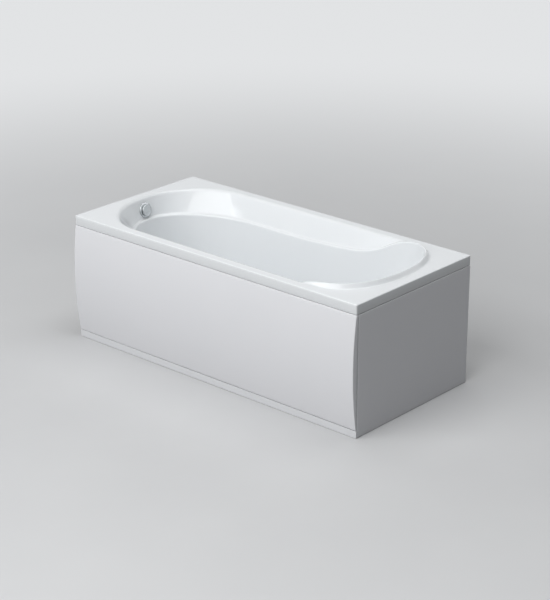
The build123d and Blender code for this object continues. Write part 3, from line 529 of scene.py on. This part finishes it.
path = rounded_chain(profile, profile_rounds, shell_places(profile_rounds))
basin = both_sides(to_plan(path[..., 0], path[..., 1]))
edge_levels = [
    (edge_round * (1.0 - sin(turn)), rim_top - edge_round * (1.0 - cos(turn)))
    for turn in np.radians([0.0, 18.0, 36.0, 54.0, 72.0, 90.0])
]
edge_levels += [(0.0, skirt_middle), (0.0, skirt_foot + 2.0)]
edge_levels += [(0.3, skirt_foot + 0.7), (1.2, skirt_foot)]
edge_reaches = np.stack(
    [reach_of(lambda x, y, inset=inset: within_rim(inset, x, y)) for inset, _ in edge_levels],
    axis=1,
)
edge_heights = np.broadcast_to(np.array([height for _, height in edge_levels]), edge_reaches.shape)
edge = both_sides(to_plan(edge_reaches, edge_heights))
shell_rows = np.concatenate([floor_rows(basin[:, 0]), basin, edge[:, 1:]], axis=1)
shell_points, shell_keep = open_overflow(shell_rows.transpose(1, 0, 2), hole_radius)
bath_shell = surface("bath_shell", shell_points, keep=shell_keep)
thicken(bath_shell, shell_wall)


def relief(tree, shader, pattern, strength, depth):
    """Fine relief of a finish after a pattern, with its depth in metres."""
    bump = tree.nodes.new("ShaderNodeBump")
    bump.inputs["Strength"].default_value = strength
    bump.inputs["Distance"].default_value = depth
    tree.links.new(pattern, bump.inputs["Height"])
    tree.links.new(bump.outputs["Normal"], shader.inputs["Normal"])


def gloss_plastic(name, colour, shade, gloss, wave):
    """Moulded or drawn gloss sheet: nearly even colour, faint haze in the gloss, and long soft
    waves."""
    material, tree, shader, where = new_material(name)
    tint = tinted(tree, noise(tree, where, 4.0, 3.0), (0.3, shade), (0.7, colour))
    haze = ranged(tree, noise(tree, where, 18.0, 6.0), 0.3, 0.7, gloss, gloss * 1.5)
    tree.links.new(tint, shader.inputs["Base Color"])
    tree.links.new(haze, shader.inputs["Roughness"])
    relief(tree, shader, noise(tree, where, 9.0, 1.0), wave, 0.002)
    shader.inputs["IOR"].default_value = 1.49
    return material


acrylic = gloss_plastic("white acrylic", (0.815, 0.835, 0.85), (0.805, 0.828, 0.845), 0.08, 0.08)
bath_shell.data.materials.append(acrylic)
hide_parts("acrylic_shell")
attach(bath_shell, "bath")

# Backing: glass mat laid up by hand in polyester resin on the dry side of the basin. It is rough,
# a little yellow, and ends under the rim. The acrylic is offset along its normals to carry it.
backing_gap = 5.2
backing_wall = 3.8
backing_top = 529.0
wall_slant = 1.02
collar_slant = 1.1
skin_rounds = profile_rounds + np.array([8.0] * (profile_rounds.shape[1] - 3) + [9.0, 4.0, 4.0])
skin_places = shell_places(skin_rounds, top_rows=False)
wall_end = profile_marks[:, -4] - np.clip(crest_height - backing_top, 0.0, None) * wall_slant
collar_end = profile_marks[:, -3] + np.clip(backing_top - bank_height, 0.0, None) * collar_slant
skin_end = np.where(crest_height > backing_top, wall_end, collar_end)
skin_places = skin_places * (skin_end / skin_places[:, -1])[:, None]
skin_path = rounded_chain(profile, skin_rounds, skin_places)
skin = both_sides(to_plan(skin_path[..., 0], skin_path[..., 1]))
skin = np.concatenate([floor_rows(skin[:, 0]), skin], axis=1).transpose(1, 0, 2)
around = np.roll(skin, -1, axis=1) - np.roll(skin, 1, axis=1)
normals = np.cross(around, np.gradient(skin, axis=0))
normals /= np.maximum(np.linalg.norm(normals, axis=-1, keepdims=True), 1e-9)
dry_side = skin - normals * backing_gap * np.sign(normals[:1, :1, 2:])
backing_points, backing_keep = open_overflow(dry_side, hole_radius + 1.0)
fibreglass = surface("glass_mat_backing", backing_points, keep=backing_keep)
thicken(fibreglass, backing_wall)


def stretched(tree, where, scale, rotation=(0.0, 0.0, 0.0)):
    """Place on the object, turned, and scaled by its own amount in each direction."""
    mapping = tree.nodes.new("ShaderNodeMapping")
    mapping.inputs["Rotation"].default_value = rotation
    mapping.inputs["Scale"].default_value = scale
    tree.links.new(where, mapping.inputs["Vector"])
    return mapping.outputs["Vector"]


glass_mat, tree, shader, where = new_material("glass mat in resin")
strands = []
for turn, stretch in ((0.4, 38.0), (1.7, 46.0), (2.6, 42.0)):
    finer_across = (stretch * 5.0, stretch, stretch)
    lay = stretched(tree, where, finer_across, (turn, turn * 1.3, turn * 0.7))
    strands.append(noise(tree, lay, 1.6, 4.0))
crossed = combined(tree, "MAXIMUM", strands[0], strands[1])
crossed = combined(tree, "MAXIMUM", crossed, strands[2])
resin = tinted(tree, crossed, (0.48, (0.47, 0.43, 0.30)), (0.72, (0.74, 0.72, 0.60)))
tree.links.new(resin, shader.inputs["Base Color"])
tree.links.new(ranged(tree, crossed, 0.45, 0.75, 0.28, 0.62), shader.inputs["Roughness"])
relief(tree, shader, crossed, 0.7, 0.0012)
fibreglass.data.materials.append(glass_mat)
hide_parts("fibreglass_backing")
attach(fibreglass, "bath")


# Front panel, end panel and plinth: trays of thermoformed sheet and an extruded strip, open at the
# back, with soft edges. The front one is bowed outwards, which makes it stiff. They clear the
# floor a little.
level_steps = 70
upright_steps = 30
edge_steps = 7
face_loops = 25
least_bend = 0.25


def tray(name, along, up, face, rear, edge, wall, place):
    """Open-backed tray of a rounded oblong. Loops run round its outline p: up the side wall from
    the rear, over the edge at an angle b as p moved in by edge (1 - cos b) and back by
    edge (1 - sin b), then over the face towards a middle line q as q + (p - q) share."""
    (first, last), (low, high) = along, up
    half_tall = (high - low) / 2.0
    corner = np.radians(np.linspace(0.0, 90.0, edge_steps))
    level_run = np.linspace(0.0, 1.0, level_steps)[1:-1]
    upright_run = np.linspace(0.0, 1.0, upright_steps)[1:-1]

    def outline(inset):
        """Loop of (along, up) points set in from the outline."""
        left, right, bottom, top = first + inset, last - inset, low + inset, high - inset
        bend = max(edge - inset, least_bend)
        quarters = [
            (right - bend, top - bend, 0.0, level_run),
            (left + bend, top - bend, 90.0, upright_run),
            (left + bend, bottom + bend, 180.0, level_run),
            (right - bend, bottom + bend, 270.0, upright_run),
        ]
        loop = []
        for number, (x, z, start, run) in enumerate(quarters):
            turn = np.radians(start) + corner
            loop.append(np.stack([x + bend * np.cos(turn), z + bend * np.sin(turn)], axis=-1))
            next_x, next_z, next_start, _ = quarters[(number + 1) % 4]
            onward = np.radians(next_start)
            there = np.array([next_x + bend * np.cos(onward), next_z + bend * np.sin(onward)])
            here = loop[-1][-1]
            loop.append(here + (there - here) * run[:, None])
        return np.concatenate(loop)

    full = outline(0.0)
    back = rear(full[:, 0])
    rows = []
    for share in (0.0, 0.5, 1.0):
        out = back + share * (face(full[:, 1]) - edge - back)
        rows.append(np.stack([full[:, 0], out, full[:, 1]], axis=-1))
    for turn in corner[1:]:
        loop = outline(edge * (1.0 - cos(turn)))
        out = face(loop[:, 1]) - edge * (1.0 - sin(turn))
        rows.append(np.stack([loop[:, 0], out, loop[:, 1]], axis=-1))
    flat_loop = outline(edge)
    spine_x = np.clip(flat_loop[:, 0], first + half_tall, last - half_tall)
    spine = np.stack([spine_x, np.full(len(flat_loop), (low + high) / 2.0)], axis=-1)
    for share in np.linspace(1.0, 0.0, face_loops)[1:]:
        loop = spine + (flat_loop - spine) * share
        rows.append(np.stack([loop[:, 0], face(loop[:, 1]), loop[:, 1]], axis=-1))
    points = np.array(rows)
    piece = surface(name, place(points[..., 0], points[..., 1], points[..., 2]))
    thicken(piece, wall)
    return piece


def facing_front(along, out, up):
    """Points of a tray that looks to the front: along x, and out to -y."""
    return np.stack([along, -out, up], axis=-1)


def facing_end(along, out, up):
    """Points of a tray that looks to the head end: along y, and out to x."""
    return np.stack([out, along, up], axis=-1)


def level_at(out):
    """Face or rear of a tray that lies in one plane."""
    return lambda values: np.full_like(values, out)


floor_gap = 1.0
panel_play = 0.5
panel_top = 499.0
front_foot = 33.0
front_rear = 337.0
belly_height = 280.0
belly_out = 365.49
end_rear = 732.0
plinth_top = 30.0
plinth_face = 342.0


def bowed(up):
    """Face of the front panel: an arc through its top edge, its belly and its bottom edge."""
    upper = 16.0 * ((up - belly_height) / (panel_top - belly_height)) ** 2
    lower = 21.0 * ((belly_height - up) / (belly_height - front_foot)) ** 2
    return belly_out - np.where(up > belly_height, upper, lower)


def plinth_rear(along):
    """Rear of the plinth: less deep at the head end, in front of the end panel."""
    return np.where(along > 730.5, 336.4, 328.0)


front_panel = tray(
    "front_panel_sheet",
    along=(panel_play - half_long, half_long - panel_play),
    up=(front_foot, panel_top),
    face=bowed,
    rear=level_at(front_rear),
    edge=3.0,
    wall=4.0,
    place=facing_front,
)
end_panel = tray(
    "end_panel_sheet",
    along=(-336.0, half_wide - panel_play),
    up=(floor_gap, panel_top),
    face=level_at(half_long),
    rear=level_at(end_rear),
    edge=2.4,
    wall=4.0,
    place=facing_end,
)
plinth = tray(
    "plinth_extrusion",
    along=(-half_long, half_long),
    up=(floor_gap, plinth_top),
    face=level_at(plinth_face),
    rear=plinth_rear,
    edge=1.2,
    wall=2.0,
    place=facing_front,
)
panel_white, panel_shade = (0.82, 0.825, 0.85), (0.81, 0.817, 0.842)
plinth_white, plinth_shade = (0.78, 0.79, 0.81), (0.76, 0.77, 0.79)
panel_sheet = gloss_plastic("white panel sheet", panel_white, panel_shade, 0.14, 0.12)
plinth_sheet = gloss_plastic("white plinth strip", plinth_white, plinth_shade, 0.28, 0.1)
for piece, node, slot, material in (
    (front_panel, "front_panel", "panel_acrylic", panel_sheet),
    (end_panel, "end_panel", "panel_acrylic", panel_sheet),
    (plinth, "plinth_strip", "plinth_plastic", plinth_sheet),
):
    piece.data.materials.append(material)
    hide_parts(node)
    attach(piece, "bath")


# Overflow: a chromed ring, and a chromed knob on its stem, in the drain end of the collar. Water
# runs in through the slit between them.
def turned(
    name,
    corners,
    rounds,
    origin,
    axis=(0.0, 0.0, 1.0),
    across=(1.0, 0.0, 0.0),
    steps=96,
    ripple=None,
):
    """Turned form: a rounded section of (radius, height) points spun round an axis. A ripple of
    (count, depth, from, to) adds depth cos(count angle) to the radius between two heights."""
    corners = np.array(corners, dtype=float)[None]
    rounds = np.array(rounds, dtype=float)[None]
    marks = corner_marks(corners)[0]
    stops = [np.linspace(0.0, marks[-1], 24)]
    for mark, reach in zip(marks, rounds[0]):
        stops.append(mark + reach * np.linspace(-1.0, 1.0, 7))
    places = np.unique(np.clip(np.concatenate(stops), 0.0, marks[-1]))
    path = rounded_chain(corners, rounds, places[None])
    radius = np.maximum(path[0, :, 0], 0.0)[:, None]
    height = path[0, :, 1][:, None]
    angle = np.linspace(0.0, 2.0 * pi, steps, endpoint=False)[None]
    if ripple:
        count, depth, low, high = ripple
        fade = smooth(height - low) * smooth(high - height) * (radius > radius.max() * 0.8)
        radius = radius + depth * np.cos(count * angle) * fade
    axis, across = np.array(axis), np.array(across)
    third = np.cross(axis, across)
    round_off = np.cos(angle)[..., None] * across + np.sin(angle)[..., None] * third
    risen = (height + 0.0 * angle)[..., None] * axis
    return surface(name, np.array(origin) + radius[..., None] * round_off + risen, outward=True)


ring_section = [
    (22.0, 2.8),
    (22.0, 6.2),
    (23.6, 7.3),
    (31.0, 6.6),
    (33.5, 4.0),
    (33.5, 2.8),
    (22.0, 2.8),
]
ring_rounds = [0.5, 0.8, 3.0, 1.6, 0.3]
knob_section = [
    (0.0, -30.0),
    (6.0, -30.0),
    (6.0, 9.0),
    (23.0, 9.0),
    (25.0, 10.5),
    (25.0, 13.6),
    (23.4, 15.0),
    (21.6, 15.0),
    (20.6, 14.2),
    (19.6, 14.2),
    (0.0, 14.9),
]
knob_rounds = [0.5, 0.8, 1.0, 1.0, 1.0, 0.7, 0.5, 0.4, 0.4]
ring = turned(
    "overflow_rose",
    ring_section,
    ring_rounds,
    overflow_centre,
    axis=overflow_axis,
    across=(0.0, 1.0, 0.0),
)
knob = turned(
    "overflow_knob",
    knob_section,
    knob_rounds,
    overflow_centre,
    axis=overflow_axis,
    across=(0.0, 1.0, 0.0),
    ripple=(40, 0.22, 9.6, 13.8),
)


def plated(name, colour, gloss):
    """Polished plating: a mirror with a faint haze of dried water and wiping."""
    material, tree, shader, where = new_material(name)
    shader.inputs["Metallic"].default_value = 1.0
    shader.inputs["Base Color"].default_value = (*colour, 1.0)
    haze = ranged(tree, noise(tree, where, 60.0, 7.0), 0.35, 0.7, gloss, gloss * 2.4)
    tree.links.new(haze, shader.inputs["Roughness"])
    return material


chrome = plated("chrome plate", (0.50, 0.52, 0.53), 0.06)
for piece, node, body in ((ring, "overflow_ring", "bath"), (knob, "control_knob", "knob")):
    piece.data.materials.append(chrome)
    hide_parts(node)
    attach(piece, body)


# Waste: a chromed flange screwed down through the floor, and a domed pop-up plug that the cable
# lifts by its stem. The plug carries a rubber ring.
def rubber_like(name, colour, rough, pit):
    """Moulded rubber or plastic: even colour with a fine pitted skin and dusty patches."""
    material, tree, shader, where = new_material(name)
    patch = noise(tree, where, 30.0, 6.0)
    dusty = [min(1.0, c * 1.12 + 0.012) for c in colour]
    tint = tinted(tree, patch, (0.35, colour), (0.75, dusty))
    worn = ranged(tree, patch, 0.35, 0.7, rough, min(1.0, rough * 1.35))
    tree.links.new(tint, shader.inputs["Base Color"])
    tree.links.new(worn, shader.inputs["Roughness"])
    relief(tree, shader, noise(tree, where, 900.0, 2.0), pit, 0.0004)
    return material


def dress(nodes_named, material):
    """Give CAD nodes a material in place of their plain one."""
    for name in nodes_named:
        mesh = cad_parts[name].data
        mesh.materials.clear()
        mesh.materials.append(material)


flange_section = [
    (22.0, 120.0),
    (22.0, 142.5),
    (35.0, 142.5),
    (34.6, 143.8),
    (29.0, 145.5),
    (19.0, 145.0),
    (19.0, 120.0),
    (22.0, 120.0),
]
plug_section = [
    (0.0, 141.0),
    (18.7, 141.0),
    (18.7, 147.0),
    (30.0, 147.0),
    (30.0, 148.4),
    (27.0, 150.0),
    (0.0, 151.0),
]
seal_section = [(20.0, 145.8), (20.0, 147.0), (24.0, 147.0), (24.0, 145.8), (20.0, 145.8)]
waste_origin = (waste_x, 0.0, 0.0)
waste_flange = turned("waste_rose", flange_section, [0.4, 0.4, 0.6, 2.0, 1.0, 0.4], waste_origin)
waste_plug = turned("pop_up_plug", plug_section, [0.8, 0.5, 0.3, 0.5, 2.6], waste_origin)
plug_seal = turned("plug_ring_seal", seal_section, [0.4, 0.3, 0.5], waste_origin)
black_rubber = rubber_like("black rubber", (0.022, 0.022, 0.022), 0.62, 0.4)
for piece, node, body, slot, material in (
    (waste_flange, "waste_flange", "bath", "chrome", chrome),
    (waste_plug, "waste_plug", "plug", "chrome", chrome),
    (plug_seal, "plug_seal", "plug", "rubber", black_rubber),
):
    piece.data.materials.append(material)
    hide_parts(node)
    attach(piece, body)
dress(["overflow_gasket", "upper_waste_seal", "lower_waste_seal"], black_rubber)


# Timber: a chipboard base board, glassed in under the floor of the basin, and planed softwood
# battens, which stiffen the rim from below.
def cells(tree, where, scale):
    """Chips or crystals: a colour that is even over each cell, and the distance from its middle."""
    texture = tree.nodes.new("ShaderNodeTexVoronoi")
    texture.inputs["Scale"].default_value = scale
    tree.links.new(where, texture.inputs["Vector"])
    return texture.outputs["Color"], texture.outputs["Distance"]


chipboard, tree, shader, where = new_material("chipboard")
chips, from_middle = cells(tree, stretched(tree, where, (1.0, 0.45, 1.6)), 260.0)
chip_colours = (
    (0.0, (0.30, 0.185, 0.085)),
    (0.5, (0.50, 0.34, 0.175)),
    (1.0, (0.62, 0.45, 0.26)),
)
tree.links.new(tinted(tree, chips, *chip_colours), shader.inputs["Base Color"])
shader.inputs["Roughness"].default_value = 0.78
relief(tree, shader, from_middle, 0.5, 0.0006)
dress(["base_board"], chipboard)


def softwood(name, stretch):
    """Planed softwood with its grain along one direction: stretched rings and fine pores."""
    material, tree, shader, where = new_material(name)
    rings = noise(tree, stretched(tree, where, stretch), 3.0, 5.0, distortion=0.6)
    tint = tinted(tree, rings, (0.35, (0.50, 0.33, 0.165)), (0.62, (0.72, 0.545, 0.335)))
    tree.links.new(tint, shader.inputs["Base Color"])
    shader.inputs["Roughness"].default_value = 0.66
    relief(tree, shader, rings, 0.3, 0.0004)
    return material


dress(["front_rim_batten", "rear_rim_batten"], softwood("softwood along", (1.6, 60.0, 60.0)))
dress(["head_rim_batten", "drain_rim_batten"], softwood("softwood across", (60.0, 1.6, 60.0)))


# Steel: folded galvanised sheet for the cradle, the wall hooks and the straps, and zinc-plated
# screws and nuts.
def zinc(name, colour, size, low, high):
    """Zinc coat on steel: crystals of slightly different brightness and gloss."""
    material, tree, shader, where = new_material(name)
    shader.inputs["Metallic"].default_value = 1.0
    crystals, _ = cells(tree, where, size)
    tint = tinted(tree, crystals, (0.0, [c * 0.82 for c in colour]), (1.0, colour))
    tree.links.new(tint, shader.inputs["Base Color"])
    tree.links.new(ranged(tree, crystals, 0.0, 1.0, low, high), shader.inputs["Roughness"])
    return material


galvanised = zinc("galvanised sheet", (0.62, 0.64, 0.66), 90.0, 0.30, 0.52)
zinc_plate = zinc("zinc plate", (0.74, 0.75, 0.76), 500.0, 0.20, 0.34)
cradle = ["drain_end_cross_rail", "head_end_cross_rail", "centre_foot_bracket"]
dress([*cradle, "wall_hooks", "lower_panel_straps"], galvanised)
dress(["board_screws", "strap_bolts", "plug_stem"], zinc_plate)

# Feet: a threaded stud between two lock nuts, standing in a black plastic pad, so that the bath
# can be levelled.
pitch = 1.5
thread_depth = 0.75
stud_radius = 5.0
stud_foot = 6.0
tip_length = 1.5
tip_depth = 1.0
foot_side = 225.0
feet = {"centre": (0.0, 0.0, 112.0)}
for rail, rail_x in (("drain_end", -350.0), ("head_end", 290.0)):
    for side, sign in (("front", -1.0), ("rear", 1.0)):
        feet[f"{rail}_{side}"] = (rail_x, sign * foot_side, 145.0)
pad_section = [
    (0.0, 0.0),
    (25.0, 0.0),
    (25.0, 4.4),
    (23.0, 6.0),
    (13.2, 7.0),
    (12.0, 20.0),
    (5.0, 20.0),
    (5.0, 6.0),
    (0.0, 6.0),
]
pad_rounds = [0.8, 1.5, 1.5, 3.0, 1.2, 0.5, 0.3]
pad_plastic = rubber_like("black moulded plastic", (0.028, 0.028, 0.030), 0.45, 0.5)
for foot, (foot_x, foot_y, top) in feet.items():
    # The stud's radius at a height and an angle is cut by how far they are from the thread's crest
    height = np.arange(stud_foot, top, pitch / 8.0)[:, None]
    angle = np.linspace(0.0, 2.0 * pi, 28, endpoint=False)[None]
    phase = (height / pitch - angle / (2.0 * pi)) % 1.0
    cut = np.clip(np.abs(phase - 0.5) * 2.4 - 0.2, 0.0, 1.0)
    tip = np.clip((top - height) / tip_length, 0.0, 1.0)
    radius = stud_radius - thread_depth * cut - tip_depth * (1.0 - tip)
    stud_x, stud_y = foot_x + radius * np.cos(angle), foot_y + radius * np.sin(angle)
    wall_points = np.stack([stud_x, stud_y, height + 0.0 * angle], axis=-1)
    bottom, lid = np.empty_like(wall_points[:1]), np.empty_like(wall_points[:1])
    bottom[:] = (foot_x, foot_y, stud_foot)
    lid[:] = (foot_x, foot_y, height[-1, 0])
    stud_points = np.concatenate([bottom, wall_points, lid])
    stud = surface(f"{foot}_threaded_stud", stud_points, outward=True)
    stud.data.materials.append(zinc_plate)
    pad_origin = (foot_x, foot_y, 0.0)
    pad = turned(f"{foot}_pad_moulding", pad_section, pad_rounds, pad_origin, steps=72)
    pad.data.materials.append(pad_plastic)
    for piece, node, slot in (
        (stud, f"{foot}_foot_stud", "zinc_plated_steel"),
        (pad, f"{foot}_foot_pad", "foot_plastic"),
    ):
        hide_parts(node)
        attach(piece, f"{foot}_foot")


def joined(pieces):
    """Several objects as one, which is the first of them."""
    with bpy.context.temp_override(
        active_object=pieces[0], selected_editable_objects=pieces, selected_objects=pieces
    ):
        bpy.ops.object.join()
    return pieces[0]


# Lock nuts: hexagons with turned chamfers, one under and one on each rail and the centre bracket
nut_tall = 8.0
nut_apothem = 8.5
rail_sheet = 2.0
nut_angle = np.linspace(0.0, 2.0 * pi, 96, endpoint=False)
hexagon = nut_apothem / np.cos((nut_angle % (pi / 3.0)) - pi / 6.0)
nut_rows = [(5.06, 0.0), (8.3, 0.0), (8.9, 0.35), (9.9, 1.1)]
nut_rows += [(limit, nut_tall - level) for limit, level in nut_rows[::-1]] + nut_rows[:1]
nut_radius = np.array([np.minimum(hexagon, limit) for limit, _ in nut_rows])
nut_height = np.array([level for _, level in nut_rows])[:, None] + 0.0 * nut_radius
nut_points = np.stack(
    [nut_radius * np.cos(nut_angle), nut_radius * np.sin(nut_angle), nut_height], axis=-1
)
nuts = []
for foot, (foot_x, foot_y, _) in feet.items():
    clamped = 76.0 if foot == "centre" else 114.0
    for seat in (clamped - nut_tall, clamped + rail_sheet):
        nut_place = np.array([foot_x, foot_y, seat])
        nuts.append(surface("lock_nut", nut_points + nut_place, outward=True))
lock_nuts = joined(nuts)
lock_nuts.name = "lock_nuts"
nut_faces = lock_nuts.data.polygons
nut_faces.foreach_set("use_smooth", np.zeros(len(nut_faces), dtype=bool))
lock_nuts.data.materials.append(zinc_plate)
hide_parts("foot_lock_nuts")
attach(lock_nuts, "bath")


# Waste pipes: white moulded plastic, the overflow pipe to the waste body, the trap and its outlet,
# with ribbed hand nuts.
def bent_path(corners, radii, step):
    """Points along straight runs with an arc of the given radius at each corner. At an angle a an
    arc is its start + radius (sin a along the run before it + (1 - cos a) to its inner side)."""
    corners = [np.array(c, dtype=float) for c in corners]
    points = [corners[0]]

    def lead_to(end):
        """Even points from the last one to an end, without the last one itself."""
        count = max(2, int(np.linalg.norm(end - points[-1]) / (3.0 * step)))
        return np.linspace(points[-1], end, count)[1:]

    for before, corner, after, radius in zip(corners, corners[1:], corners[2:], radii):
        one = (corner - before) / np.linalg.norm(corner - before)
        two = (after - corner) / np.linalg.norm(after - corner)
        turn = np.arccos(np.clip(one @ two, -1.0, 1.0))
        start = corner - one * (radius * np.tan(turn / 2.0))
        side = two - one * (one @ two)
        side /= np.linalg.norm(side)
        angles = np.linspace(0.0, turn, max(4, int(turn * radius / step)))[:, None]
        arc = start + radius * (np.sin(angles) * one + (1.0 - np.cos(angles)) * side)
        points += [*lead_to(start)[:-1], *arc]
    return np.array([*points, *lead_to(corners[-1])])


def tube(name, path, outer, inner, guide, steps=40):
    """Tube along a path: circles square to it, turned to keep one side to a guide direction. The
    outside runs to the end and the bore runs back, or caps close a rod."""
    along = np.gradient(path, axis=0)
    along /= np.linalg.norm(along, axis=1, keepdims=True)
    side = np.array(guide) - (along @ np.array(guide))[:, None] * along
    side /= np.linalg.norm(side, axis=1, keepdims=True)
    third = np.cross(along, side)
    angle = np.linspace(0.0, 2.0 * pi, steps, endpoint=False)[None, :, None]
    circle = np.cos(angle) * side[:, None] + np.sin(angle) * third[:, None]
    skin = path[:, None] + outer * circle
    if inner:
        bore = (path[:, None] + inner * circle)[::-1]
        points = np.concatenate([skin, bore, skin[:1]])
    else:
        caps = path[[0, -1], None] + 0.0 * skin[:1]
        points = np.concatenate([caps[:1], skin, caps[1:]])
    return surface(name, points, outward=True)


overflow_run = bent_path(
    [(-720.5, 0.0, 452.0), (-720.5, 0.0, 108.0), (-517.0, 0.0, 108.0)],
    [45.0],
    4.0,
)
overflow_pipe = tube("overflow_pipe_run", overflow_run, 12.0, 10.0, (0.0, 1.0, 0.0))
trap_run = bent_path(
    [
        (waste_x, 0.0, 72.0),
        (waste_x, 0.0, 28.0),
        (waste_x, 64.0, 28.0),
        (waste_x, 64.0, 84.0),
        (waste_x, 180.0, 84.0),
    ],
    [30.0, 30.0, 24.0],
    3.0,
)
trap = tube("trap_bend_run", trap_run, 20.0, 17.5, (1.0, 0.0, 0.0), steps=56)
outlet_origin = (waste_x, 0.0, 84.0)
outlet_axis = (0.0, 1.0, 0.0)
outlet_section = [
    (17.5, 180.0),
    (19.0, 180.0),
    (19.0, 192.0),
    (20.0, 192.0),
    (20.0, 345.0),
    (17.5, 345.0),
    (17.5, 180.0),
]
outlet_rounds = [0.2, 0.3, 0.3, 0.4, 0.4]
outlet = turned("outlet_pipe_run", outlet_section, outlet_rounds, outlet_origin, axis=outlet_axis)
slip_nut_section = [
    (12.1, 434.0),
    (18.0, 434.0),
    (18.6, 436.0),
    (18.6, 446.0),
    (17.8, 448.0),
    (15.1, 448.0),
    (15.1, 440.0),
    (12.1, 440.0),
    (12.1, 434.0),
]
slip_nut = turned(
    "overflow_hand_nut",
    slip_nut_section,
    [0.6, 0.8, 0.8, 0.6, 0.2, 0.2, 0.2],
    (-720.5, 0.0, 0.0),
    steps=144,
    ripple=(24, 0.35, 435.0, 447.5),
)


def trap_hand_nut(name, start, origin, axis):
    """Ribbed nut of the trap, 20 mm long from a start along its axis."""
    section = [(20.1, 0.0), (25.4, 0.0), (26.4, 2.0), (26.4, 18.0), (25.4, 20.0), (20.1, 20.0)]
    section = [(radius, start + height) for radius, height in [*section, section[0]]]
    rounds = [0.6, 0.9, 0.9, 0.6, 0.2]
    ribs = (30, 0.5, start + 1.0, start + 19.0)
    return turned(name, section, rounds, origin, axis=axis, steps=180, ripple=ribs)


trap_nuts = joined(
    [
        trap_hand_nut("trap_hand_nut", 62.0, waste_origin, (0.0, 0.0, 1.0)),
        trap_hand_nut("outlet_hand_nut", 170.0, outlet_origin, outlet_axis),
    ]
)
white_pipe = rubber_like("white moulded plastic", (0.74, 0.75, 0.75), 0.34, 0.25)
for piece, node in (
    (overflow_pipe, "overflow_pipe"),
    (trap, "trap_bend"),
    (outlet, "outlet_pipe"),
    (slip_nut, "overflow_slip_nut"),
    (trap_nuts, "trap_nuts"),
):
    piece.data.materials.append(white_pipe)
    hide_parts(node)
    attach(piece, "bath")
dress(["overflow_body", "waste_body"], white_pipe)

# Bowden cable: a black sheathed cable from the knob's box to the waste body, in two clips. The
# panel clips are of the same natural plastic as these.
cable_run = bent_path(
    [
        (-722.0, 30.0, 468.0),
        (-722.0, 30.0, 110.0),
        (-576.874, 96.874, 110.0),
        (-496.264, 16.264, 110.0),
    ],
    [60.0, 60.0],
    3.0,
)
cable = tube("bowden_cable_run", cable_run, 3.0, 0.0, (0.3, 0.9, 0.3), steps=20)
cable.data.materials.append(rubber_like("black cable sheath", (0.03, 0.03, 0.032), 0.38, 0.2))
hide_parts("bowden_cable")
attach(cable, "bath")
natural_plastic = rubber_like("natural moulded plastic", (0.66, 0.66, 0.62), 0.42, 0.3)
dress(["cable_clips", "panel_clips"], natural_plastic)
